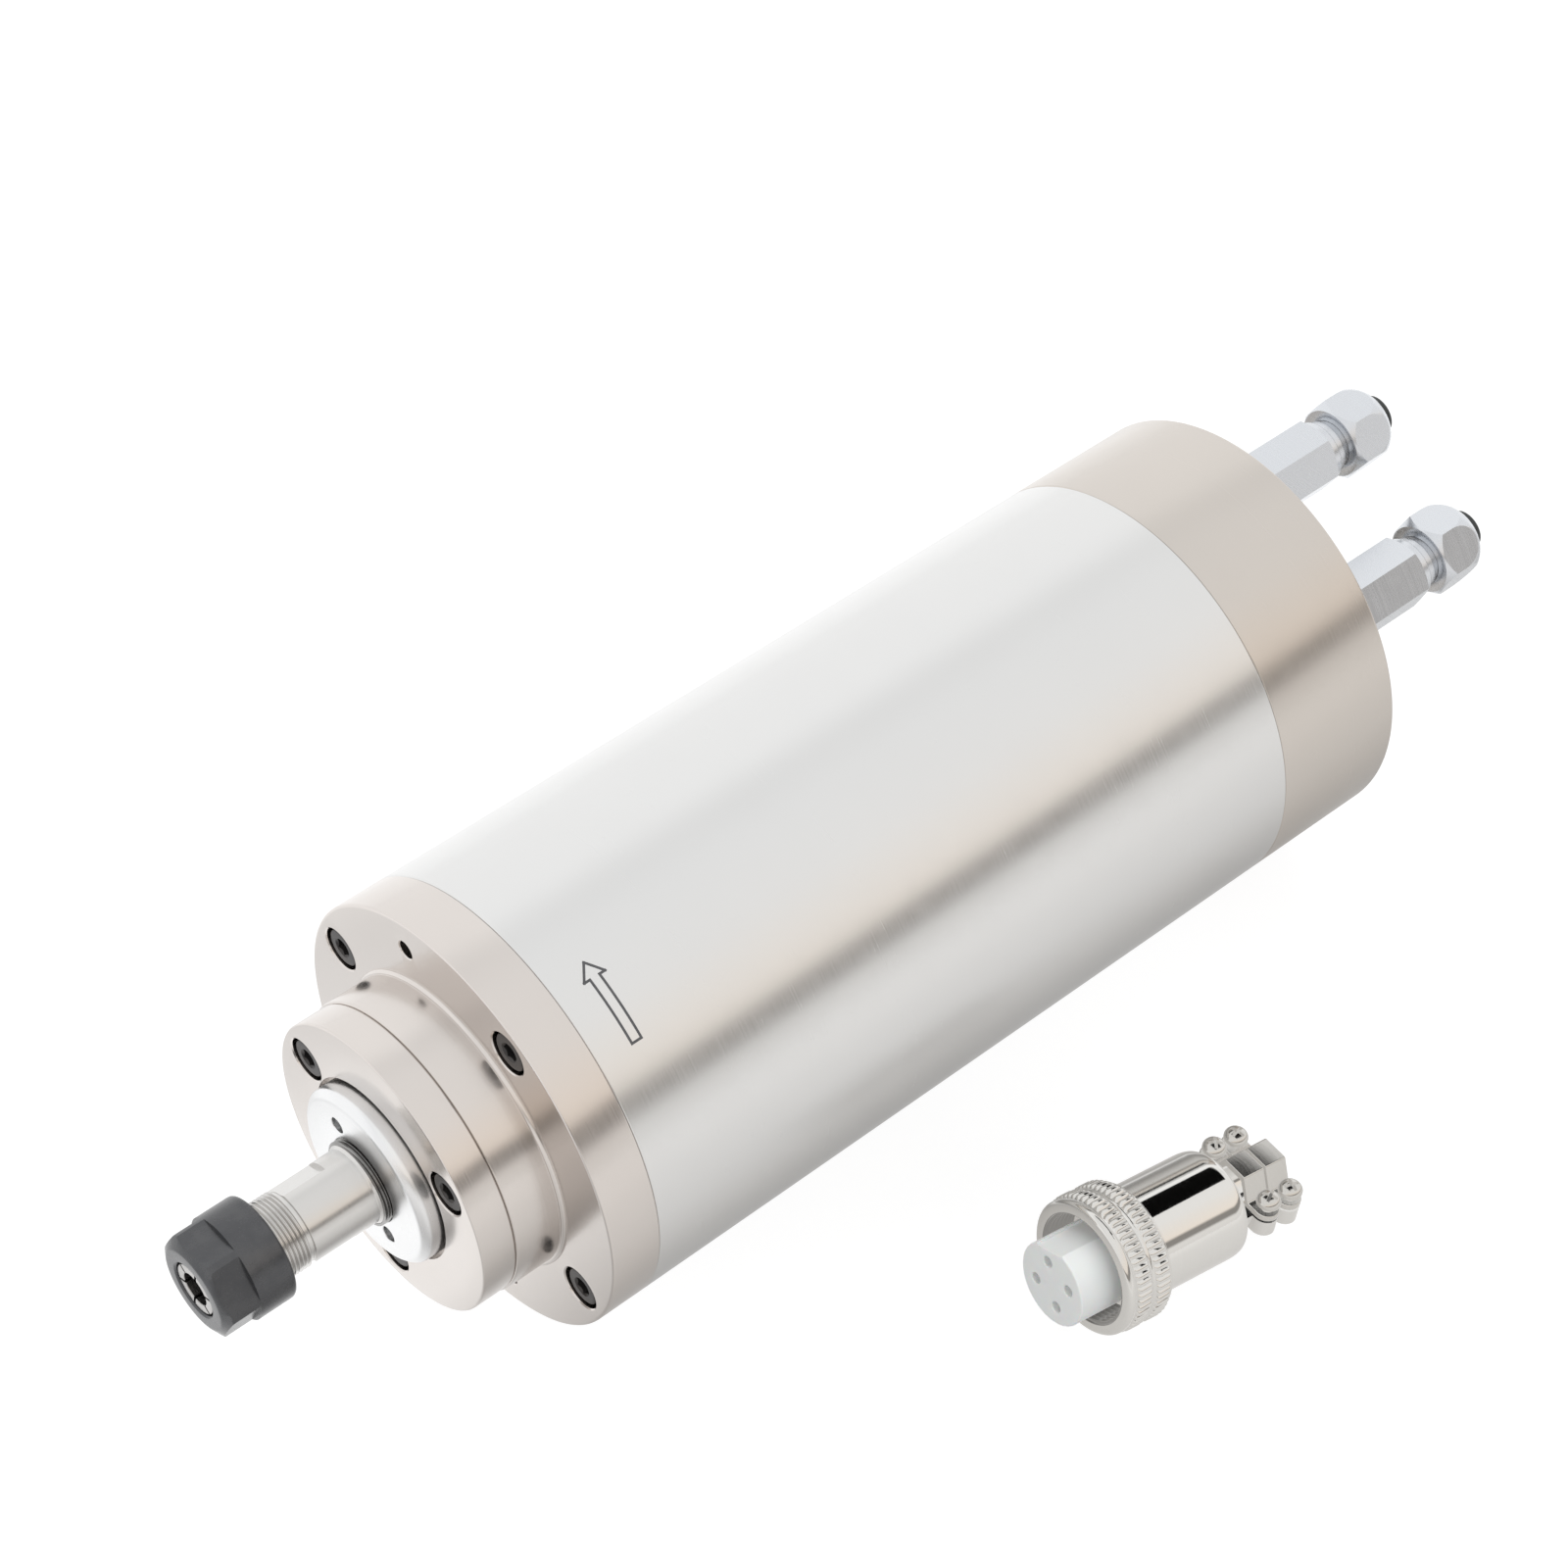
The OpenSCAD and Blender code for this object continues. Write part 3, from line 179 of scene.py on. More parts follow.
# The camera sees the table nearly white, with a faint shadow; in reflections the table glows with painted
# shade, darkest near the spindle's front as a painted contact shadow, and in painted bands behind it
TABLE_Z, REACH, TABLE_SEEN = -0.04, 4.0, 0.715
_, wires = sheet("table", (-REACH, REACH), (-REACH, TABLE_Z), (REACH, TABLE_Z), grey(0.28))
paper = wires.nodes["Principled BSDF"]
paper.inputs["Emission Strength"].default_value = BRIGHT
_, across, _ = Wire(wires).node("TexCoord", out="Object").split()
SHADE_BACK, SHADE_DEPTH = 0.10, 0.35
# Painted shade, seen only by reflections: bands behind the spindle and a painted contact shadow in front of
# it
painted_table_shade = across.node("ValToRGB", {"stops": (
    (0.00, grey(0.80)), (0.06, grey(0.60)), (0.13, grey(0.66)), (0.20, grey(0.86)), (0.29, grey(0.82)),
    (0.38, grey(0.28, 0.02)), (0.415, grey(0.33, 0.03)), (0.457, grey(0.42, 0.03)),
    (0.52, grey(0.50, 0.02)), (0.63, grey(0.55, 0.02)), (1.00, grey(0.63, 0.02)))},
    {"Fac": (SHADE_BACK - across) / SHADE_DEPTH})
rays = across.node("LightPath").socket.node
glow = Wire(wires, rays.outputs["Is Glossy Ray"]).blend((0, 0, 0, 1), painted_table_shade)
glow = Wire(wires, rays.outputs["Is Camera Ray"]).blend(glow, (*grey(TABLE_SEEN), 1))
wires.links.new(glow.socket, paper.inputs["Emission Color"])

# Two dark cards over the plug, seen only in reflections, paint a dark reflected band on its shell. From
# above, or on edge, where the barrel would see them, the cards let the light through
CARD_Z, SEE_THROUGH = 0.030, 0.40
for name, x_span, front, back in (("card_over_plug", (0.0325, 0.090), -0.041, -0.087),
                                  ("card_step", (0.0275, 0.0325), -0.080, -0.094)):
    card, wires = sheet(name, x_span, (front, CARD_Z), (back, CARD_Z), grey(0.012))
    card.visible_camera = card.visible_shadow = card.visible_diffuse = False
    facing = Wire(wires).node("LayerWeight", (), {"Blend": 0.5}, out=1)
    on_edge = facing.node("MapRange", (), {0: facing, 1: SEE_THROUGH, 2: SEE_THROUGH + 0.08})
    gone = on_edge.math("MAXIMUM", Wire(wires).node("NewGeometry", out=6), on_edge)
    black = Wire(wires, wires.nodes["Principled BSDF"].outputs[0])
    shown = gone.node("MixShader", (), {0: gone, 1: black, 2: gone.node("BsdfTransparent")})
    wires.links.new(shown.socket, wires.nodes["Material Output"].inputs["Surface"])

# Barrel
# A steel tube, ground round and satin plated, with a hair-fine chamfer at each end. It is pushed over
# the water jacket and held between the two caps.
MM = 0.001
BODY_R = 40.0
SEAM = 71.2
TUBE_BORE = 37.0


def lathe(bm, outline, steps=160):
    """Spins (radius, x) points about X; a third number rounds that corner over so many millimetres."""
    points = []
    for i, (r, x, *ease) in enumerate(outline):
        corner = Vector((x, r, 0))
        if not ease:
            points.append(corner)
            continue
        arms = [Vector((p[1], p[0], 0)) - corner for p in (outline[i - 1], outline[(i + 1) % len(outline)])]
        a, b = [corner + arm.normalized() * min(ease[0], arm.length * 0.49) for arm in arms]
        points += [a * (1 - t) ** 2 + corner * 2 * t * (1 - t) + b * t * t for t in (0, 0.25, 0.5, 0.75, 1)]
    ring = [bm.verts.new(point) for point in points]
    pairs = list(zip(ring, ring[1:]))
    if outline[0][0] > 0:
        pairs.append((ring[-1], ring[0]))
    edges = [bm.edges.new(pair) for pair in pairs]
    bmesh.ops.spin(bm, geom=ring + edges, cent=(0, 0, 0), axis=(1, 0, 0), dvec=(0, 0, 0), angle=math.tau,
                   steps=steps, use_merge=True, use_duplicate=False)
    bmesh.ops.remove_doubles(bm, verts=bm.verts, dist=1e-4)
    return bm


def piece(name, bm, coat, body, nodes, place=None, bevel=0.0, crease=28):
    """Makes the finished object from a mesh drawn in millimetres, and ties it to the model.

    The loose plug isn't mirrored in the barrel.
    """
    bmesh.ops.recalc_face_normals(bm, faces=bm.faces)
    bmesh.ops.transform(bm, matrix=Matrix.Scale(MM, 4) @ (place or Matrix()), verts=bm.verts)
    mesh = bpy.data.meshes.new(name)
    bm.to_mesh(mesh)
    bm.free()
    made = bpy.data.objects.new(name, mesh)
    scene.collection.objects.link(made)
    mesh.materials.append(coat)
    mesh.shade_smooth()
    if bevel:
        edge = made.modifiers.new("edges", "BEVEL")
        edge.width, edge.segments, edge.limit_method = bevel * MM, 2, "ANGLE"
        edge.angle_limit = math.radians(crease)
        edge.use_clamp_overlap, edge.miter_outer = True, "MITER_ARC"
        weighted = made.modifiers.new("flat_faces", "WEIGHTED_NORMAL")
        weighted.weight, weighted.keep_sharp = 60, True
    else:
        mesh.set_sharp_from_angle(angle=math.radians(crease))
    made.visible_glossy = not body.startswith("plug")
    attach(made, body)
    if nodes:
        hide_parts(*nodes)


def finish(name, varying, metallic=0.0, rough=0.4, place=None, **fixed):
    """A material: fixed values sit on the shader's sockets, and varying() wires those that change."""
    made = bpy.data.materials.new(name)
    made.use_nodes = True
    tree = made.node_tree
    shader = tree.nodes["Principled BSDF"]
    shader.inputs["Metallic"].default_value = metallic
    shader.inputs["Roughness"].default_value = rough
    for key, value in fixed.items():
        shader.inputs[key.replace("_", " ")].default_value = value
    spot = Wire(tree).node("TexCoord", out="Object")
    if place:
        spot = spot.node("Mapping", {"vector_type": "TEXTURE"}, {
            "Vector": spot, "Location": place.to_translation() * MM, "Rotation": place.to_euler()})
    for key, wire in varying(spot).items():
        tree.links.new(wire.socket, shader.inputs[key])
    return made


def noise(spot, scale, detail=2.0, rough=0.5):
    return spot.node("TexNoise", (), {"Vector": spot, "Scale": scale, "Detail": detail, "Roughness": rough})


def about_axis(spot):
    """The place along the axis and the distance from it."""
    x, y, z = spot.split()
    return x, (y * y + z * z) ** 0.5


def lay(spot, pitch):
    """Fine marks that run round the axis, as turning and round grinding leave them; pitch is in mm."""
    x, radius = about_axis(spot)
    return spot.node("TexNoise", {"noise_dimensions": "1D"},
                     {"W": (x + radius) / (pitch * MM), "Scale": 1.0, "Detail": 2.0, "Roughness": 0.6})


def bump(height, strength, microns):
    return height.node("Bump", (), {"Height": height, "Strength": strength, "Distance": microns * 1e-6})


def tint(colour, factor):
    return tuple(c * factor for c in colour) + (1,)


# Painted shade: the share of its colour that metal keeps between the given radii, where a thread sits in a
# recess
PAINTED_SHADE_DARKNESS = 0.45


def worked_metal(name, colour, rough, pitch=0.35, spread=0.10, cast=0.05, microns=1.5, place=None, painted_shade_radii=()):
    """Turned metal: marks round the axis, clouds in colour and gloss, and painted shade that darkens the
    colour between two radii.
    """
    dark, bright = tint(colour, 1 - cast), tint(colour, 1 + cast * 0.6)

    def varying(spot):
        marks = lay(spot, pitch)
        clouds = noise(spot, 55.0, 3.0)
        smears = noise(spot, 260.0, 4.0, 0.65)
        coat = (0.55 * marks + 0.45 * clouds).blend(dark, bright)
        # Painted shade: the colour is darker between the two radii
        if painted_shade_radii:
            _, radius = about_axis(spot)
            painted_recess_shade = radius.math("COMPARE", radius, sum(painted_shade_radii) / 2 * MM, (painted_shade_radii[1] - painted_shade_radii[0]) / 2 * MM)
            coat = painted_recess_shade.blend(coat, tint(colour, PAINTED_SHADE_DARKNESS))
        return {"Base Color": coat,
                "Roughness": rough + spread * (marks - 0.5) + spread * 0.7 * (smears - 0.5),
                "Normal": bump(marks, 0.5, microns)}

    return finish(name, varying, metallic=1.0, place=place)


barrel_steel = worked_metal("barrel_satin_steel", (0.71, 0.71, 0.705), 0.24, pitch=0.30, cast=0.03)
tube = lathe(bmesh.new(), [(TUBE_BORE, -SEAM), (BODY_R - 0.2, -SEAM, 0.1), (BODY_R, -SEAM + 0.2, 0.1),
                           (BODY_R, SEAM - 0.2, 0.1), (BODY_R - 0.2, SEAM, 0.1), (TUBE_BORE, SEAM)], 256)
piece("barrel_tube", tube, barrel_steel, "housing", ["barrel"])

# Turning arrow
# The outline of an arrow, etched dark on the barrel near its front, shows which way the shaft turns. Its
# tip, barbs and tail are placed by millimetres along X and round the barrel.
ARROW_X, TIP, BARBS, TAIL = -63.6, 76.4, 79.3, 91.3
BARB, STEM = 2.1, 0.95
STROKE, LIFT = 0.22, 0.02
outline = [(0, TIP), (BARB, BARBS), (STEM, BARBS), (STEM, TAIL),
           (-STEM, TAIL), (-STEM, BARBS), (-BARB, BARBS)]
arrow = bmesh.new()
for start, stop in zip(outline, outline[1:] + outline[:1]):
    a, b = Vector(start), Vector(stop)
    along = (b - a).normalized() * STROKE
    side = Vector((-along.y, along.x))
    steps = max(2, round((b - a).length * 2))
    rails = []
    for edge in (side, -side):
        rail = [a - along + edge + (b - a + along * 2) * i / steps for i in range(steps + 1)]
        spots = [(ARROW_X + p.x, math.cos(p.y / BODY_R), math.sin(p.y / BODY_R)) for p in rail]
        for radius in (BODY_R - LIFT, BODY_R + LIFT):
            rails.append([arrow.verts.new((x, radius * c, radius * s)) for x, c, s in spots])
    low, high, low_back, high_back = rails
    for one, two in ((high, high_back), (low, low_back), (low, high), (low_back, high_back)):
        for i in range(steps):
            arrow.faces.new((one[i], one[i + 1], two[i + 1], two[i]))
    for i in (0, steps):
        arrow.faces.new((low[i], high[i], high_back[i], low_back[i]))


def etched(spot):
    grain = noise(spot, 1500.0, 2.0)
    return {"Base Color": grain.blend((0.055, 0.055, 0.06, 1), (0.12, 0.12, 0.125, 1)),
            "Roughness": 0.5 + 0.2 * (grain - 0.5)}


piece("turning_arrow", arrow, finish("arrow_etched_dark", etched), "housing", [])

# Front cap
# Turned from one bar of steel with the neck that holds the front bearings, then nickel plated, which
# gives it a warm tone. Four counterbored screws and two tapped jack holes go through its rim.
NECK_FACE, CAP_FACE = -90.3, -80.8
NECK_R, BEARING_BORE = 27.4, 17.53
SCREW_CIRCLE = 34.185
FLANGE_CIRCLE, FLANGE_TURN = 21.5, 1.5
COUNTERBORE, COUNTERBORE_DEPTH, SCREW_HOLE = 4.0, 4.4, 2.25
ROLL = 26.5


def turn(degrees):
    return Matrix.Rotation(math.radians(degrees), 4, "X")


def shift(x, y=0.0, z=0.0):
    return Matrix.Translation((x, y, z))


def carved(blank, cutter):
    """The blank less the cutter, both closed shapes in millimetres."""
    made = []
    for shape in (blank, cutter):
        bmesh.ops.recalc_face_normals(shape, faces=shape.faces)
        mesh = bpy.data.meshes.new("blank")
        shape.to_mesh(mesh)
        shape.free()
        made.append(bpy.data.objects.new("blank", mesh))
        scene.collection.objects.link(made[-1])
    cut = made[0].modifiers.new("cut", "BOOLEAN")
    cut.operation, cut.solver, cut.object = "DIFFERENCE", "EXACT", made[1]
    result = bmesh.new()
    result.from_object(made[0], bpy.context.evaluated_depsgraph_get())
    for spent in made:
        bpy.data.meshes.remove(spent.data)
    return result


def copies(shape, places):
    """One mesh that holds the shape at each of the places."""
    mesh = bpy.data.meshes.new("shape")
    shape.to_mesh(mesh)
    shape.free()
    made = bmesh.new()
    for spot in places:
        start = len(made.verts)
        made.from_mesh(mesh)
        made.verts.ensure_lookup_table()
        bmesh.ops.transform(made, matrix=spot, verts=made.verts[start:])
    bpy.data.meshes.remove(mesh)
    return made


def joined(*shapes):
    made = bmesh.new()
    for shape in shapes:
        mesh = bpy.data.meshes.new("shape")
        shape.to_mesh(mesh)
        shape.free()
        made.from_mesh(mesh)
        bpy.data.meshes.remove(mesh)
    return made


def on_circle(radius, x, count, start=0.0):
    return [turn(start + i * 360 / count) @ shift(x, radius) for i in range(count)]


def screw_sink(through):
    """The hole for a cap screw from the surface at x = 0: broken edge, counterbore, clearance hole."""
    return lathe(bmesh.new(), [
        (0, -1), (COUNTERBORE + 1.25, -1), (COUNTERBORE, 0.22), (COUNTERBORE, COUNTERBORE_DEPTH),
        (SCREW_HOLE, COUNTERBORE_DEPTH), (SCREW_HOLE, through + 1), (0, through + 1)], 64)


def drilled(radius, depth, edge=0.2):
    """A drilled hole from the surface at x = 0, with a broken edge and the drill's cone at its end."""
    return lathe(bmesh.new(), [(0, -1), (radius + 1 + edge, -1), (radius, edge), (radius, depth),
                               (0, depth + radius * 0.5)], 48)


rolled = turn(ROLL)
cap_nickel = worked_metal("cap_warm_nickel", (0.665, 0.625, 0.595), 0.20, pitch=0.28, cast=0.06,
                          microns=3.0)
cap = lathe(bmesh.new(), [
    (BEARING_BORE, NECK_FACE, 0.2), (NECK_R, NECK_FACE, 0.4), (NECK_R, CAP_FACE - 0.75, 0.1),
    (27.7, CAP_FACE - 0.75, 0.1), (28.15, CAP_FACE - 0.3, 0.15), (28.15, CAP_FACE, 0.05),
    (BODY_R, CAP_FACE, 0.55), (BODY_R, -SEAM - 0.2, 0.1), (BODY_R - 0.2, -SEAM, 0.1), (30.0, -SEAM),
    (30.0, -65.2), (26.0, -65.2), (26.0, -70.2), (23.5, -70.2), (23.5, -62.3), (22.0, -62.3),
    (12.1, -62.3), (12.1, -66.3), (BEARING_BORE, -66.3)], 256)
holes = joined(copies(screw_sink(9.6), on_circle(SCREW_CIRCLE, CAP_FACE, 4)),
               copies(drilled(1.65, 8.0), on_circle(SCREW_CIRCLE, CAP_FACE, 2, 45)),
               copies(drilled(2.03, 9.0), on_circle(FLANGE_CIRCLE, NECK_FACE, 3, FLANGE_TURN)))
piece("front_cap_and_neck", carved(cap, holes), cap_nickel, "housing", ["front_cap"], rolled)

# Front flange
# A nickel plated ring screwed on the neck. It closes the bearings in, and a recess in its face takes
# the dust disc.
FLANGE_FACE = -96.8
flange = lathe(bmesh.new(), [
    (12.2, FLANGE_FACE + 2.2, 0.1), (17.1, FLANGE_FACE + 2.2), (17.1, FLANGE_FACE, 0.12),
    (27.1, FLANGE_FACE, 0.45), (27.1, NECK_FACE, 0.35), (17.5, NECK_FACE), (17.5, NECK_FACE + 2),
    (14.8, NECK_FACE + 2), (14.8, NECK_FACE), (12.2, NECK_FACE)], 224)
holes = copies(screw_sink(6.5), on_circle(FLANGE_CIRCLE, FLANGE_FACE, 3, FLANGE_TURN))
piece("bearing_flange", carved(flange, holes), cap_nickel, "housing", ["front_flange"], rolled)

# Rear cap
# Turned and plated like the front cap. Four long screws pull it on the jacket; the two water ports
# and the power socket open in its back.
REAR_FACE = 98.4
PORT_CIRCLE, PORT_R = 30.0, 4.03
PORT_TURNS = {"inlet": 63.8, "outlet": 116.2}
SOCKET_OFF = 10.0
about_face = Matrix.Rotation(math.pi, 4, "Z")
rear = lathe(bmesh.new(), [
    (0, 90.4), (24.4, 90.4), (24.4, 68.2), (31.37, 68.2), (31.37, SEAM), (BODY_R - 0.2, SEAM, 0.1),
    (BODY_R, SEAM + 0.2, 0.1), (BODY_R, REAR_FACE, 0.5), (0, REAR_FACE)], 256)
screw_places = [spot @ about_face for spot in on_circle(SCREW_CIRCLE, REAR_FACE, 4)]
port_places = [turn(angle) @ shift(REAR_FACE, PORT_CIRCLE) @ about_face for angle in PORT_TURNS.values()]
holes = joined(copies(screw_sink(27.2), screw_places), copies(drilled(PORT_R, 14.0), port_places),
               copies(drilled(9.83, 9.0, 0.1), [shift(REAR_FACE, 0, -SOCKET_OFF) @ about_face]))
rear_nickel = worked_metal("rear_cap_warm_nickel", (0.61, 0.57, 0.53), 0.24, pitch=0.28, cast=0.06)
piece("rear_cap_turned", carved(rear, holes), rear_nickel, "housing", ["rear_cap"], rolled)

# Cap screws
# Socket-head screws of blackened steel: four in the front cap, three in the flange, four long ones in
# the rear cap. Their heads are rolled over at the rim and sit just below the surface.
HEAD, SHANK, HEAD_LEN = 3.5, 2.0, 4.0


def black_steel(name, colour=(0.035, 0.034, 0.035), rough=0.36, worn=(1.9, 1.75, 1.6)):
    """Blackened steel: dark, a little brown where oil dried, and shinier where hands rub it."""
    def varying(spot):
        clouds = noise(spot, 240.0, 4.0, 0.6)
        grain = noise(spot, 2600.0, 2.0)
        tone = clouds.node("MapRange", (), {0: clouds, 1: 0.35, 2: 0.7})
        rubbed = tuple(c * w for c, w in zip(colour, worn)) + (1,)
        return {"Base Color": tone.blend((*colour, 1), rubbed),
                "Roughness": rough + 0.16 * (clouds - 0.5) + 0.08 * (grain - 0.5),
                "Normal": bump(grain, 0.5, 4)}
    return finish(name, varying, metallic=0.55)


def socket_screw(length):
    blank = lathe(bmesh.new(), [(0, -HEAD_LEN), (HEAD, -HEAD_LEN, 0.5), (HEAD, 0, 0.15), (SHANK, 0),
                                (SHANK, length, 0.4), (0, length)], 64)
    mouth = lathe(bmesh.new(), [(0, -HEAD_LEN - 1), (2.9, -HEAD_LEN - 1), (1.45, -HEAD_LEN + 0.45),
                                (0, -HEAD_LEN + 0.45)], 48)
    key = lathe(bmesh.new(), [(0, -HEAD_LEN - 1), (1.732, -HEAD_LEN - 1), (1.732, -HEAD_LEN + 2.2),
                              (0, -HEAD_LEN + 2.9)], 6)
    return carved(carved(blank, mouth), key)


screw_black = black_steel("screw_blackened")
in_cap = on_circle(SCREW_CIRCLE, CAP_FACE + COUNTERBORE_DEPTH, 4)
in_flange = on_circle(FLANGE_CIRCLE, FLANGE_FACE + COUNTERBORE_DEPTH, 3, FLANGE_TURN)
in_rear = [spot @ about_face for spot in on_circle(SCREW_CIRCLE, REAR_FACE - COUNTERBORE_DEPTH, 4)]
piece("cap_screws_front", copies(socket_screw(14.2), in_cap), screw_black,
      "housing", ["front_cap_screws"], rolled)
piece("cap_screws_flange", copies(socket_screw(10.1), in_flange), screw_black,
      "housing", ["flange_screws"], rolled)
piece("cap_screws_rear", copies(socket_screw(31.8), in_rear), screw_black,
      "housing", ["rear_cap_screws"], rolled)

# Dust disc
# A bare aluminium disc, faced on the lathe and screwed on the shaft in front of the bearings. Two
# blind holes take a pin spanner.
DISC_FACE = -100.4
disc_aluminium = worked_metal("disc_faced_aluminium", (0.80, 0.805, 0.81), 0.30, pitch=0.22, spread=0.12,
                              cast=0.04, microns=4.0)
disc = lathe(bmesh.new(), [
    (7.88, DISC_FACE, 0.2), (15.2, DISC_FACE, 0.5), (16.4, DISC_FACE + 1.2, 0.5), (16.4, -95.2, 0.1),
    (11.8, -95.2), (11.8, -88.3), (8.53, -88.3), (8.53, -92.3), (7.88, -92.3)], 192)
holes = copies(drilled(1.5, 2.5, 0.12), on_circle(10.4, DISC_FACE, 2, 29.5))
piece("dust_disc_faced", carved(disc, holes), disc_aluminium,
      "rotor", ["dust_disc"], rolled)

# Shaft
# One ground steel shaft. Its nose has a fine thread for the nut, two wrench flats, a larger thread
# that the disc is screwed on, and a taper bore for the collet; its tail carries the rotor.
NOSE, THREAD_ROOT, THREAD_PITCH = 6.9, 6.42, 0.75
DISC_THREAD_ROOT, DISC_THREAD, DISC_PITCH = 7.45, 7.85, 0.6
FLATS_TURN = 25.5
SHAFT_MOUTH, NUT_REAR, THREAD_END = -128.9, -120.2, -115.3


def thread(root, crest, pitch, start, end, steps=64):
    """A helical ridge on a core of the root radius; a crest below the root is an inside thread."""
    bm = bmesh.new()
    inward = 0.06 if crest > root else -0.06
    x0 = start - pitch / 2
    section = [bm.verts.new((x0 + dx * pitch, r, 0)) for dx, r in
               ((-0.46, root - inward), (-0.07, crest), (0.07, crest), (0.46, root - inward))]
    edges = [bm.edges.new(pair) for pair in zip(section, section[1:] + section[:1])]
    turns = (end - start) / pitch + 1.1
    count = int(steps * turns)
    bmesh.ops.spin(bm, geom=section + edges, cent=(0, 0, 0), axis=(1, 0, 0), angle=math.tau * count / steps,
                   dvec=(pitch / steps, 0, 0), steps=count, use_merge=False, use_duplicate=False)
    for x, way in ((end, 1), (start, -1)):
        bmesh.ops.bisect_plane(bm, geom=bm.verts[:] + bm.edges[:] + bm.faces[:], dist=1e-5,
                               plane_co=(x, 0, 0), plane_no=(way, 0, 0), clear_outer=True)
        bmesh.ops.holes_fill(bm, edges=[e for e in bm.edges if e.is_boundary and
                                        all(abs(v.co.x - x) < 1e-3 for v in e.verts)], sides=0)
    return bm


def block(low, high):
    """A plain block between two corners, used as a cutter."""
    bm = bmesh.new()
    bmesh.ops.create_cube(bm, size=1)
    low, high = Vector(low), Vector(high)
    bmesh.ops.scale(bm, verts=bm.verts, vec=high - low)
    bmesh.ops.translate(bm, verts=bm.verts, vec=(low + high) / 2)
    return bm


# The disc thread, at radii between 7.3 and 8.0 mm, is darkened with painted shade where it runs into the
# disc.
ground_steel = worked_metal("shaft_ground_steel", (0.64, 0.63, 0.615), 0.22, pitch=0.25, spread=0.14,
                            cast=0.07, painted_shade_radii=(7.3, 8.0))
core = lathe(bmesh.new(), [
    (0, -98.3), (3.5, -99.3), (3.5, -114.9), (3.74, -114.9),
    (5.7, SHAFT_MOUTH, 0.1), (6.2, SHAFT_MOUTH, 0.1), (THREAD_ROOT, SHAFT_MOUTH + 0.4),
    (THREAD_ROOT, THREAD_END), (6.3, THREAD_END + 0.1), (6.3, THREAD_END + 0.8, 0.15),
    (NOSE, THREAD_END + 0.8, 0.12), (NOSE, -102.1, 0.1),
    (DISC_THREAD_ROOT, -101.6, 0.1), (DISC_THREAD_ROOT, -92.3), (8.5, -92.3), (8.5, -66.3),
    (10.5, -66.3, 0.2), (10.5, -60.3), (10.0, -60.3), (10.0, 45.0), (9.5, 45.0), (9.5, 64.0),
    (7.5, 64.0), (7.5, 73.0), (7.3, 73.0), (7.3, 79.0), (6.7, 79.6), (0, 79.6)], 160)
flats = joined(*[block((-114.5, low, -9), (-106.3, low + 4, 9)) for low in (6.1, -10.1)])
bmesh.ops.transform(flats, matrix=turn(FLATS_TURN), verts=flats.verts)
nose_thread = thread(THREAD_ROOT, NOSE, THREAD_PITCH, SHAFT_MOUTH + 0.5, THREAD_END, 96)
disc_thread = thread(DISC_THREAD_ROOT, DISC_THREAD, DISC_PITCH, -101.7, DISC_FACE + 0.4, 96)
spindle = joined(carved(core, flats), nose_thread, disc_thread)
piece("shaft_nose_ground", spindle, ground_steel, "rotor", ["shaft"], rolled, crease=20)

# Collet
# A spring-steel sleeve slotted from both ends. Its front groove takes the nut's lip, and its long
# taper closes on the tool's shank when the nut pulls it in.
COLLET_FACE, COLLET_REAR, TAPER_START = -133.3, -115.3, -129.2
COLLET_BORE, SLOTS, SLOT_W, SLOT_TURN = 3.0, 6, 0.5, 15
collet = lathe(bmesh.new(), [
    (COLLET_BORE, COLLET_FACE, 0.2), (4.6, COLLET_FACE, 0.1), (5.6, -131.57, 0.1), (5.6, -131.0),
    (4.7, -131.0), (4.7, -129.8), (5.7, -129.8), (5.7, TAPER_START), (3.75, COLLET_REAR),
    (COLLET_BORE, COLLET_REAR)], 96)
long_slot = block((COLLET_FACE - 1, 1, -SLOT_W / 2), (COLLET_REAR - 3, 7, SLOT_W / 2))
front_slots = copies(long_slot, [turn(SLOT_TURN + i * 360 / SLOTS) for i in range(SLOTS)])
short_slot = block((TAPER_START, 1, -SLOT_W / 2), (COLLET_REAR + 1, 7, SLOT_W / 2))
rear_slots = copies(short_slot, [turn(SLOT_TURN + (i + 0.5) * 360 / SLOTS) for i in range(SLOTS)])
collet_steel = worked_metal("collet_spring_steel", (0.40, 0.39, 0.38), 0.28, pitch=0.3, spread=0.14,
                            cast=0.08)
piece("collet_slotted", carved(carved(collet, front_slots), rear_slots), collet_steel,
      "collet", ["collet"], rolled, bevel=0.06, crease=35)

# Collet nut
# Blackened steel. Six short flats are milled on its front half, where a bevel runs round the face;
# behind them the nut stays round.
NUT_FRONT, NUT_R, NUT_FLATS = -133.6, 9.5, 8.5
nut = lathe(bmesh.new(), [
    (5.3, NUT_FRONT, 0.1), (7.5, NUT_FRONT, 0.25), (NUT_R, NUT_FRONT + 1.155, 0.35), (NUT_R, NUT_REAR, 0.8),
    (6.95, NUT_REAR, 0.3), (6.95, -129.3), (5.75, -129.3), (5.75, -129.9), (5.2, -129.9), (5.2, -130.9),
    (5.65, -130.9), (5.65, -131.57), (5.0, -132.7), (5.0, NUT_FRONT + 0.3)], 192)
flat = block((NUT_FRONT - 1, NUT_FLATS, -4.9), (NUT_FRONT + 6.4, 12, 4.9))
flats = copies(flat, [turn(60 * i) for i in range(6)])
nut_black = black_steel("nut_black_oxide", (0.075, 0.077, 0.082), 0.27, (1.3, 1.28, 1.25))
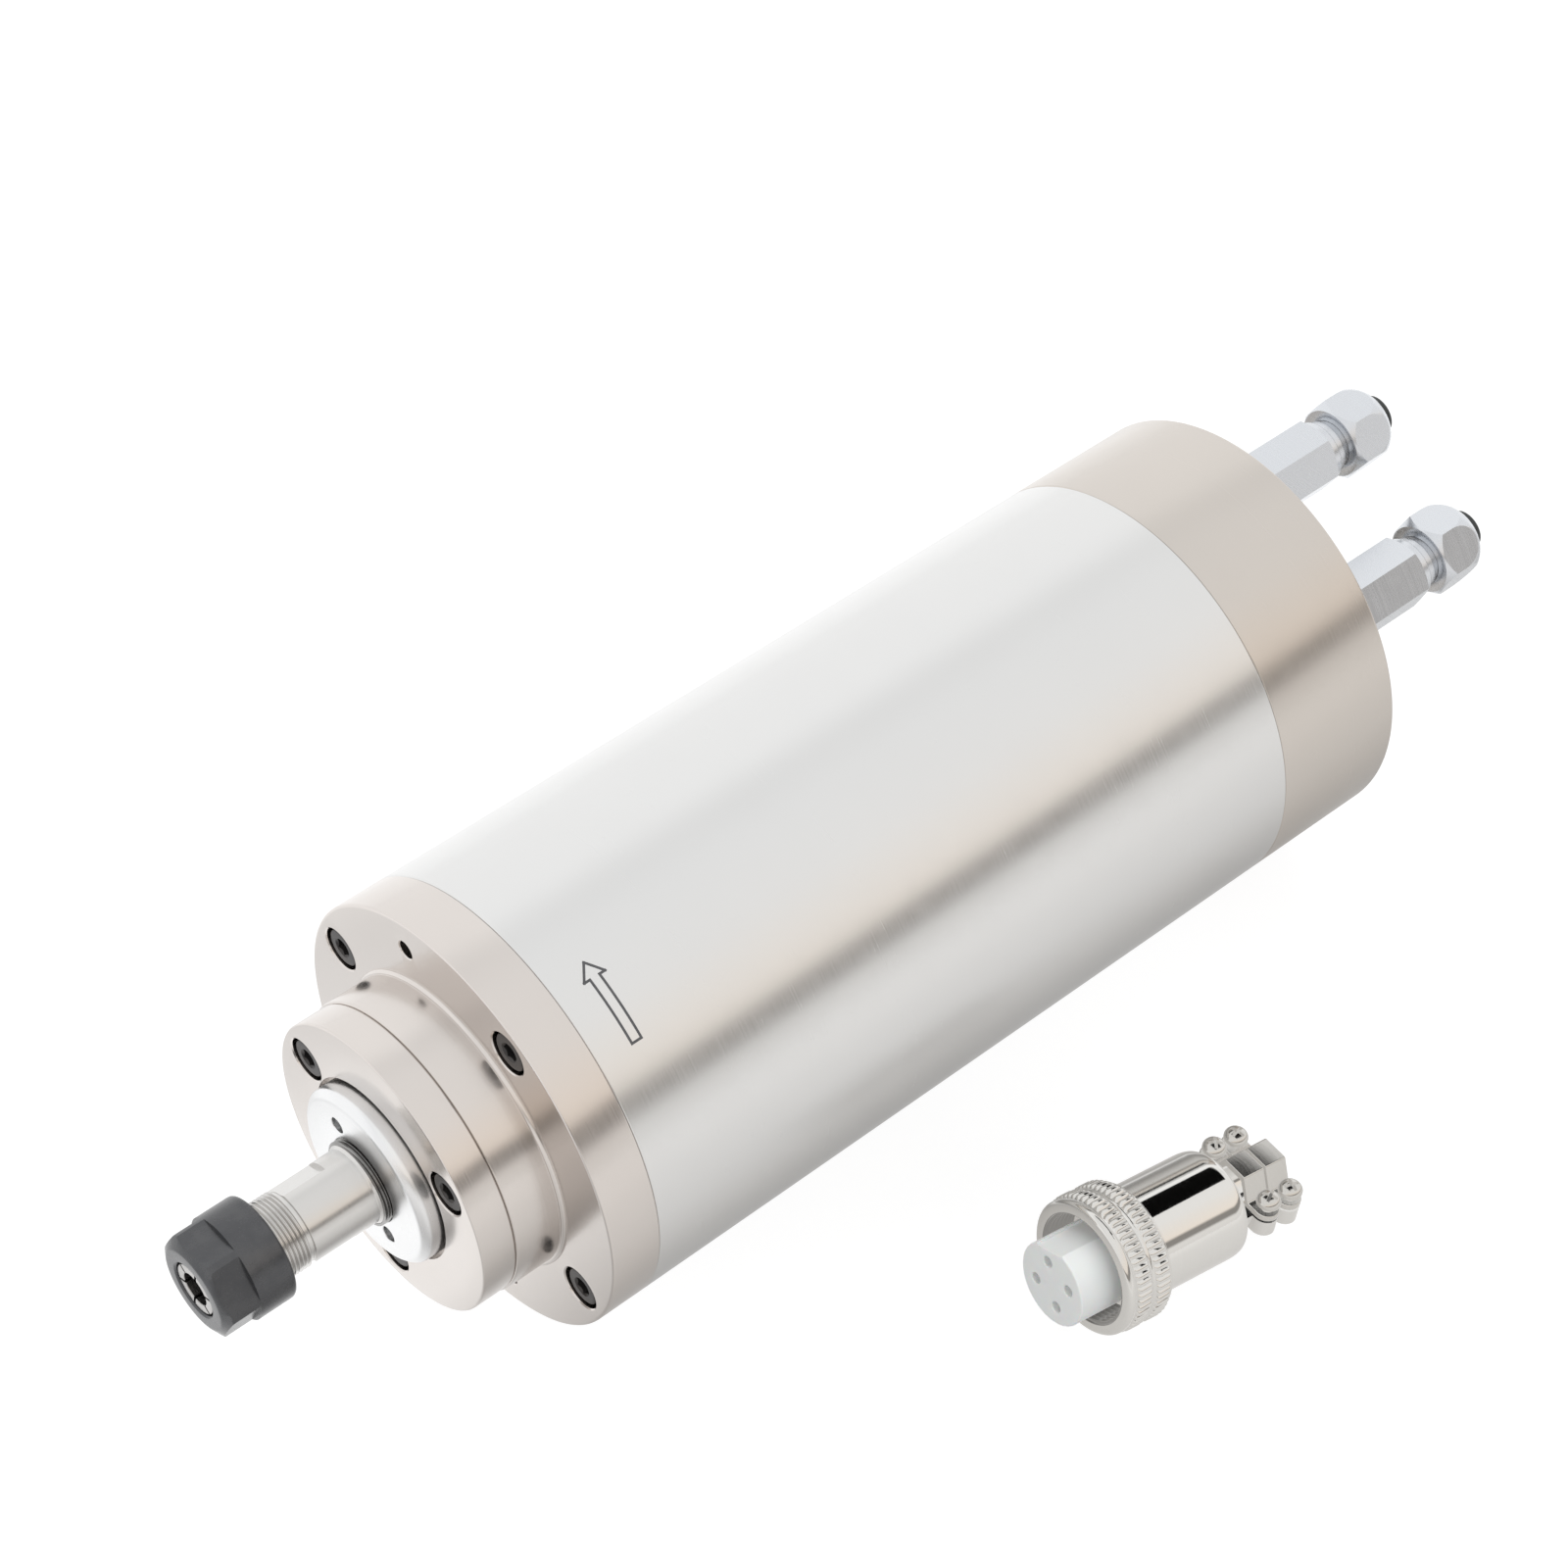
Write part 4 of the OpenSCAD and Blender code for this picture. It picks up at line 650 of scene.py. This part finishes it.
piece("collet_nut_milled", carved(nut, flats), nut_black,
      "nut", ["collet_nut"], rolled, bevel=0.16, crease=24)

# Water fittings
# Two chromed brass push-in fittings in the rear cap, each on a rubber seal: a hex stud with a turned
# collar, a bullet-shaped sleeve that swivels on it, and a black release collar for the hose.
HEX_END, SEAL_END = 115.4, 99.4
SLEEVE_FRONT, SLEEVE_END = 119.9, 130.2
WATER_BORE, HOSE_R, SLEEVE_BORE = 2.2, 3.05, 4.65
chrome = worked_metal("fitting_chrome", (0.66, 0.68, 0.71), 0.27, pitch=0.6, spread=0.08, cast=0.04,
                      microns=1.2)


def hexed(bm, half):
    """Cuts the shape to six flats about X and closes each cut."""
    for i in range(6):
        way = turn(60 * i) @ Vector((0, 1, 0))
        cut = bmesh.ops.bisect_plane(bm, geom=bm.verts[:] + bm.edges[:] + bm.faces[:], dist=1e-5,
                                     plane_co=way * half, plane_no=way, clear_outer=True)
        rim = [e for e in cut["geom_cut"] if isinstance(e, bmesh.types.BMEdge)]
        bmesh.ops.contextual_create(bm, geom=rim)
    return bm


def black_plastic(name, colour, rough):
    def varying(spot):
        clouds = noise(spot, 150.0, 3.0)
        grain = noise(spot, 900.0, 3.0)
        return {"Base Color": clouds.blend(tint(colour, 0.85), tint(colour, 1.15)),
                "Roughness": rough + 0.12 * (grain - 0.5), "Normal": bump(grain, 0.4, 8)}
    return finish(name, varying)


seal_rubber = black_plastic("seal_rubber", (0.018, 0.018, 0.019), 0.62)
collar_plastic = black_plastic("collar_black_acetal", (0.022, 0.025, 0.025), 0.38)
quarter = [math.radians(9 * i) for i in range(11)]
bullet = [(4.4 + 3.452 * math.cos(a), SLEEVE_FRONT + 4.0 + 6.3 * math.sin(a)) for a in quarter]
for port, angle in PORT_TURNS.items():
    place = rolled @ turn(angle) @ shift(0, PORT_CIRCLE)
    hexagon = hexed(lathe(bmesh.new(), [
        (WATER_BORE, SEAL_END), (6.43, SEAL_END), (6.93, 99.8), (6.93, 114.9), (6.1, HEX_END),
        (WATER_BORE, HEX_END)], 96), 6.0)
    neck = lathe(bmesh.new(), [
        (WATER_BORE, 114.0), (5.7, 114.0), (5.7, 117.0, 0.3), (5.1, 117.0, 0.1), (5.1, 118.7, 0.3),
        (4.6, 118.7, 0.1), (4.6, 126.2), (WATER_BORE, 126.2)], 96)
    shank = lathe(bmesh.new(), [
        (WATER_BORE, 86.0), (3.9, 86.0, 0.3), (4.0, 100.0), (WATER_BORE, 100.0)], 64)
    sleeve = lathe(bmesh.new(), [
        (SLEEVE_BORE, SLEEVE_FRONT), (6.55, SLEEVE_FRONT), (7.85, SLEEVE_FRONT + 1.6), *bullet,
        (3.9, SLEEVE_END, 0.15), (3.9, 127.1), (HOSE_R, 127.1), (HOSE_R, 126.4), (SLEEVE_BORE, 126.4)], 144)
    collar = lathe(bmesh.new(), [
        (HOSE_R, 128.5), (3.85, 128.5), (3.85, 132.2, 0.45), (HOSE_R, 132.2, 0.3)], 96)
    seal = lathe(bmesh.new(), [
        (PORT_R, REAR_FACE), (6.4, REAR_FACE, 0.3), (6.4, SEAL_END, 0.3), (PORT_R, SEAL_END)], 96)
    piece(port + "_hex_stud", joined(hexagon, neck, shank), chrome, "housing",
          [port + "_stud"], place, bevel=0.14, crease=26)
    piece(port + "_bullet_sleeve", hexed(sleeve, 6.8), chrome, port + "_swivel",
          [port + "_nut"], place, bevel=0.18, crease=22)
    piece(port + "_release_collar", collar, collar_plastic, port + "_release",
          [port + "_collar"], place)
    piece(port + "_port_seal", seal, seal_rubber, "housing", [port + "_seal"], place)

# Power socket
# A four-pole threaded socket of nickel plated brass, nutted through the rear cap, with a key in its
# bore, a dark insulating insert and gold plated pins.
SOCKET_FLOOR, SOCKET_RIM = 101.0, 111.0
SOCKET_R, SOCKET_BORE = 9.35, 8.3
PIN_TURN, KEY_TURN, CONTACT_CIRCLE = 61.0, 70.0, 4.2
at_socket = rolled @ shift(0, 0, -SOCKET_OFF)
bright_nickel = worked_metal("socket_nickel", (0.67, 0.66, 0.64), 0.12, pitch=0.5, spread=0.06, cast=0.04,
                             microns=0.8)
tube = lathe(bmesh.new(), [
    (7.3, 84.4), (SOCKET_R, 84.4), (SOCKET_R, SOCKET_RIM, 0.4), (SOCKET_BORE, SOCKET_RIM, 0.2),
    (SOCKET_BORE, 97.0), (7.3, 97.0)], 128)
hexagon = hexed(lathe(bmesh.new(), [
    (9.0, REAR_FACE), (13.0, REAR_FACE), (13.28, REAR_FACE + 0.3), (13.28, 100.6),
    (12.5, SOCKET_FLOOR), (9.0, SOCKET_FLOOR)], 96), 11.5)
key = block((SOCKET_FLOOR, 6.7, -2.9), (SOCKET_RIM - 1.0, 8.6, 2.9))
bmesh.ops.transform(key, matrix=turn(KEY_TURN), verts=key.verts)
socket_thread = thread(SOCKET_R, 9.8, 1.0, SOCKET_FLOOR + 0.4, SOCKET_RIM - 0.4, 96)
shell = joined(tube, hexagon, key, socket_thread)
piece("socket_threaded_shell", shell, bright_nickel, "housing", ["socket_shell"],
      at_socket, crease=24)

socket_dark = black_plastic("socket_insert_dark", (0.030, 0.030, 0.034), 0.42)
insert = lathe(bmesh.new(), [(0, 85.4), (7.27, 85.4), (7.27, 97.0), (8.27, 97.0), (8.27, SOCKET_FLOOR, 0.2),
                             (0, SOCKET_FLOOR)], 96)
holes = copies(lathe(bmesh.new(), [(0, 84.0), (0.98, 84.0), (0.98, 102.0), (0, 102.0)], 32),
               on_circle(CONTACT_CIRCLE, 0, 4, PIN_TURN))
piece("socket_insulator", carved(insert, holes), socket_dark, "housing",
      ["socket_insert"], at_socket)
gold = worked_metal("contact_gold", (0.86, 0.66, 0.32), 0.22, pitch=0.3, spread=0.10, cast=0.06)
pins = copies(lathe(bmesh.new(), [(0, 82.4), (0.95, 82.4), (0.95, 110.0, 0.5), (0, 110.0)], 32),
              on_circle(CONTACT_CIRCLE, 0, 4, PIN_TURN))
piece("socket_contact_pins", pins, gold, "housing", ["socket_pins"], at_socket)

# Power plug: coupling ring
# The loose plug lies on the table. Its ring is polished nickel with a smooth lip, two bands of fine
# straight knurls rolled in, and an inside thread that draws the plug on its socket.
PLUG_PLACE, PLUG_TILT, PLUG_TURN = (-10.4, -75.7, -26.3), 8.22, -4.5
RING_FRONT, RING_BORE = 6.6, 10.05
at_plug = (shift(*PLUG_PLACE) @ Matrix.Rotation(math.radians(PLUG_TURN), 4, "Z")
           @ Matrix.Rotation(math.radians(PLUG_TILT), 4, "Y") @ shift(-RING_FRONT))
RIDGES, RIDGE_DEPTH = 60, 0.42
RIDGE_FOOT, RIDGE_FLOOR = 12.21, 11.93
# The inside thread, at radii between 9.4 and 10.2 mm, is darkened with painted shade.
knurled = worked_metal("plug_knurled_nickel", (0.68, 0.67, 0.645), 0.10, pitch=0.7, spread=0.05, cast=0.03,
                       microns=0.5, place=at_plug, painted_shade_radii=(9.4, 10.2))


def band(start, end):
    """Outline of one raised band whose ridges run out at both ends."""
    return [(11.95, start), (12.38, start + 0.35, 0.1), (12.5, start + 0.6), (12.5, end - 0.6),
            (12.38, end - 0.35, 0.1), (11.95, end)]


ring = lathe(bmesh.new(), [
    (RING_BORE, RING_FRONT, 0.15), (11.7, RING_FRONT, 0.3), (12.2, 7.05, 0.3), (12.2, 7.85, 0.3),
    (11.85, 8.2), (11.8, 8.45), *band(8.5, 11.7), (11.75, 11.8), (12.1, 12.0, 0.1), (12.1, 12.35, 0.1),
    (11.75, 12.5), *band(12.6, 15.8), (11.9, 15.95), (11.9, 16.15, 0.1), (11.5, 16.4, 0.1),
    (8.65, 16.4), (8.65, 14.2), (RING_BORE, 14.2)], RIDGES * 8)
for vert in ring.verts:
    radius = vert.co.yz.length
    if radius > RIDGE_FOOT:
        angle = math.atan2(vert.co.z, vert.co.y)
        valley = 1 - abs(math.sin(RIDGES / 2 * angle))
        cut = max(RIDGE_FLOOR, radius - RIDGE_DEPTH * valley ** 1.3)
        vert.co.y *= cut / radius
        vert.co.z *= cut / radius
ring = joined(ring, thread(RING_BORE, 9.6, 1.0, 6.9, 13.6, 96))
piece("plug_coupling_ring", ring, knurled, "plug_coupling", ["plug_ring"],
      at_plug, crease=40)

# Power plug: shell, clamp and screws
# The polished shell runs out into a half trough with screw lugs. Two bent straps hold the cable in it,
# each pulled down by two cross-head screws.
polished = worked_metal("plug_polished_nickel", (0.71, 0.70, 0.675), 0.07, pitch=0.7, spread=0.05,
                        cast=0.03, microns=0.5, place=at_plug)
SHELL_R, SHELL_REAR, CLAMP_END = 9.9, 36.3, 48.9
CABLE_R, TROUGH_R = 4.0, 4.25
CLAMP_ROWS, LUG_Y, STRAP_W = (41.6, 46.6), 7.05, 4.6


def slab(outline, depth):
    """A flat outline of (x, y, z) points given thickness along a vector."""
    bm = bmesh.new()
    face = bm.faces.new([bm.verts.new(point) for point in outline])
    sides = bmesh.ops.extrude_face_region(bm, geom=[face])
    far_end = [v for v in sides["geom"] if isinstance(v, bmesh.types.BMVert)]
    bmesh.ops.translate(bm, verts=far_end, vec=depth)
    return bm


def lug(s, side, low, high, inner):
    """A screw lug with a round end, from inner out to the screw."""
    half = STRAP_W / 2
    arc = [(s + half * math.cos(math.radians(a)), side * (LUG_Y + half * math.sin(math.radians(a))), low)
           for a in range(0, 181, 15)]
    return slab([(s + half, side * inner, low), *arc, (s - half, side * inner, low)], (0, 0, high - low))


shell = lathe(bmesh.new(), [
    (7.63, 12.6), (9.3, 12.6, 0.1), (9.3, 13.8), (8.6, 13.8), (8.6, 16.7), (SHELL_R, 16.7, 0.3),
    (SHELL_R, 33.9, 1.0), (SHELL_R - 0.3, 35.2, 0.5), (SHELL_R - 1.8, SHELL_REAR, 0.5),
    (CABLE_R, SHELL_REAR, 0.2), (CABLE_R, 33.3), (7.63, 33.3)], 192)
trough = lathe(bmesh.new(), [
    (TROUGH_R, 35.0), (6.4, 35.0), (6.4, CLAMP_END, 0.3), (TROUGH_R, CLAMP_END, 0.3)], 96)
bmesh.ops.bisect_plane(trough, geom=trough.verts[:] + trough.edges[:] + trough.faces[:], dist=1e-5,
                       plane_co=(0, 0, 0.6), plane_no=(0, 0, 1), clear_outer=True)
bmesh.ops.holes_fill(trough, edges=[e for e in trough.edges if e.is_boundary], sides=0)
lugs = [lug(s, side, -2.6, 0.6, 5.0) for s in CLAMP_ROWS for side in (-1, 1)]
piece("plug_polished_shell", joined(shell, trough, *lugs), polished, "plug",
      ["plug_shell"], at_plug, bevel=0.12, crease=30)

FOOT, ARCH, SEAT, THICK, STRAP_TOP = 4.7, 2.5, 0.9, 1.2, 6.4
straps = []
for s in CLAMP_ROWS:
    outline = [(-FOOT - THICK, SEAT), (-FOOT - THICK, SEAT + THICK), (-FOOT, SEAT + THICK),
               (-ARCH, STRAP_TOP), (ARCH, STRAP_TOP), (FOOT, SEAT + THICK), (FOOT + THICK, SEAT + THICK),
               (FOOT + THICK, SEAT), (FOOT - 0.3, SEAT), (ARCH - 0.6, STRAP_TOP - THICK),
               (-ARCH + 0.6, STRAP_TOP - THICK), (-FOOT + 0.3, SEAT)]
    straps.append(slab([(s - STRAP_W / 2, y, z) for y, z in outline], (STRAP_W, 0, 0)))
    straps += [lug(s, side, SEAT, SEAT + THICK, 5.2) for side in (-1, 1)]
strap_nickel = worked_metal("strap_nickel", (0.60, 0.585, 0.555), 0.16, pitch=0.6, spread=0.08, cast=0.06,
                            microns=1.5, place=at_plug)
piece("plug_cable_straps", joined(*straps), strap_nickel,
      "plug", ["plug_straps"], at_plug, bevel=0.22, crease=30)

HEAD_SEAT = 3.3
head = lathe(bmesh.new(), [
    (0, 1.8), (0.8, 1.8, 0.4), (1.75, 1.45, 0.4), (2.15, 0.75, 0.3), (2.15, 0, 0.1), (1.05, 0),
    (1.05, -7.2, 0.2), (0, -7.4)], 64)
for slot in (block((0.95, -1.35, -0.3), (3, 1.35, 0.3)), block((0.95, -0.3, -1.35), (3, 0.3, 1.35))):
    head = carved(head, slot)
screw = joined(head, thread(1.05, 1.25, 0.45, -7.0, -0.3, 24))
upright = Matrix.Rotation(-math.pi / 2, 4, "Y")
seats = [shift(s, side * LUG_Y, HEAD_SEAT) @ upright for s in CLAMP_ROWS for side in (-1, 1)]
screws = copies(screw, [seat @ turn(30 + 25 * i) for i, seat in enumerate(seats)])
piece("plug_clamp_screws", screws, strap_nickel, "plug", ["plug_screws"], at_plug)

# Power plug: insert and contacts
# A pale moulded insert with a keyed flat and four holes; a gold plated sleeve contact lies deep in
# each hole.
insert = lathe(bmesh.new(), [(0, 0), (7.6, 0, 0.4), (7.6, 19.6), (0, 19.6)], 128)
flat = block((-1, 6.5, -3.1), (11.6, 20, 3.1))
bmesh.ops.transform(flat, matrix=turn(KEY_TURN), verts=flat.verts)
holes = copies(lathe(bmesh.new(), [(0, -1), (2.05, -1), (1.05, 0.15), (1.05, 21), (0, 21)], 48),
               on_circle(CONTACT_CIRCLE, 0, 4, PIN_TURN))


def moulded(spot):
    clouds = noise(spot, 120.0, 3.0)
    grain = noise(spot, 1500.0, 2.0)
    return {"Base Color": clouds.blend((0.85, 0.875, 0.87, 1), (0.90, 0.92, 0.91, 1)),
            "Roughness": 0.36 + 0.12 * (grain - 0.5), "Normal": bump(grain, 0.4, 5)}


pale_plastic = finish("insert_pale_plastic", moulded, Subsurface_Weight=0.12, Subsurface_Scale=0.001)
piece("plug_pale_insert", carved(carved(insert, flat), holes), pale_plastic, "plug",
      ["plug_insert"], at_plug, bevel=0.12, crease=35)
sleeve = lathe(bmesh.new(), [
    (0, 13.0), (0.8, 13.0), (0.8, 9.0, 0.08), (1.02, 9.0, 0.08), (1.02, 22.6), (0, 22.6)], 32)
sleeves = copies(sleeve, on_circle(CONTACT_CIRCLE, 0, 4, PIN_TURN))
piece("plug_contact_sleeves", sleeves, gold, "plug", ["plug_contacts"], at_plug)

# Inner works
# What lies inside the housing keeps its own solid and gets its own finish: the anodised jacket, stacked
# core sheets, lacquered windings, cast rotor rings, and the bearings.
CORE_SHEET = 0.5


def stacked(spot):
    x, _, _ = spot.split()
    count = x / (CORE_SHEET * MM)
    step = count.math("FRACT", count)
    clouds = noise(spot, 90.0, 3.0)
    return {"Base Color": (0.6 * clouds + 0.4 * step).blend((0.20, 0.21, 0.23, 1), (0.34, 0.35, 0.37, 1)),
            "Roughness": 0.42 + 0.15 * (clouds - 0.5), "Normal": bump(step, 0.5, 20)}


def lacquered(spot):
    strands = spot.node("TexWave", {"bands_direction": "DIAGONAL"},
                        {"Vector": spot, "Scale": 420.0, "Distortion": 3.0, "Detail": 2.0})
    clouds = noise(spot, 200.0, 3.0)
    tone = 0.5 * strands + 0.5 * clouds
    return {"Base Color": tone.blend((0.33, 0.12, 0.04, 1), (0.72, 0.34, 0.14, 1)),
            "Roughness": 0.30 + 0.2 * (clouds - 0.5), "Normal": bump(strands, 0.6, 120)}


def woven(spot):
    cloth = noise(spot, 1800.0, 3.0)
    return {"Base Color": cloth.blend((0.30, 0.15, 0.06, 1), (0.50, 0.28, 0.12, 1)),
            "Roughness": 0.5 + 0.15 * (cloth - 0.5), "Normal": bump(cloth, 0.4, 15)}


jacket_metal = worked_metal("jacket_aluminium", (0.70, 0.72, 0.74), 0.34, pitch=0.5)
bearing_steel = worked_metal("bearing_steel", (0.62, 0.62, 0.64), 0.14, pitch=0.3, spread=0.08)
INNER = {
    jacket_metal: ("water_jacket", "rear_bearing_seat"),
    seal_rubber: ("jacket_seals",),
    bearing_steel: ("front_inner_rings", "front_outer_rings", "inner_spacer", "outer_spacer", "front_balls",
                    "rear_inner_ring", "rear_outer_ring", "rear_balls", "wave_spring"),
    finish("cage_resin", woven): ("front_cages", "rear_cage"),
    finish("core_sheets", stacked, metallic=0.8): ("rotor_core", "stator_core"),
    worked_metal("rotor_cast_aluminium", (0.70, 0.71, 0.72), 0.45, pitch=0.8, cast=0.1):
        ("rotor_end_rings",),
    finish("winding_lacquer", lacquered, metallic=0.4): ("windings",),
    screw_black: ("lock_nut",),
    bright_nickel: ("socket_nut",),
}
for coat, names in INNER.items():
    for name in names:
        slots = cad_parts[name].data.materials
        slots.clear()
        slots.append(coat)
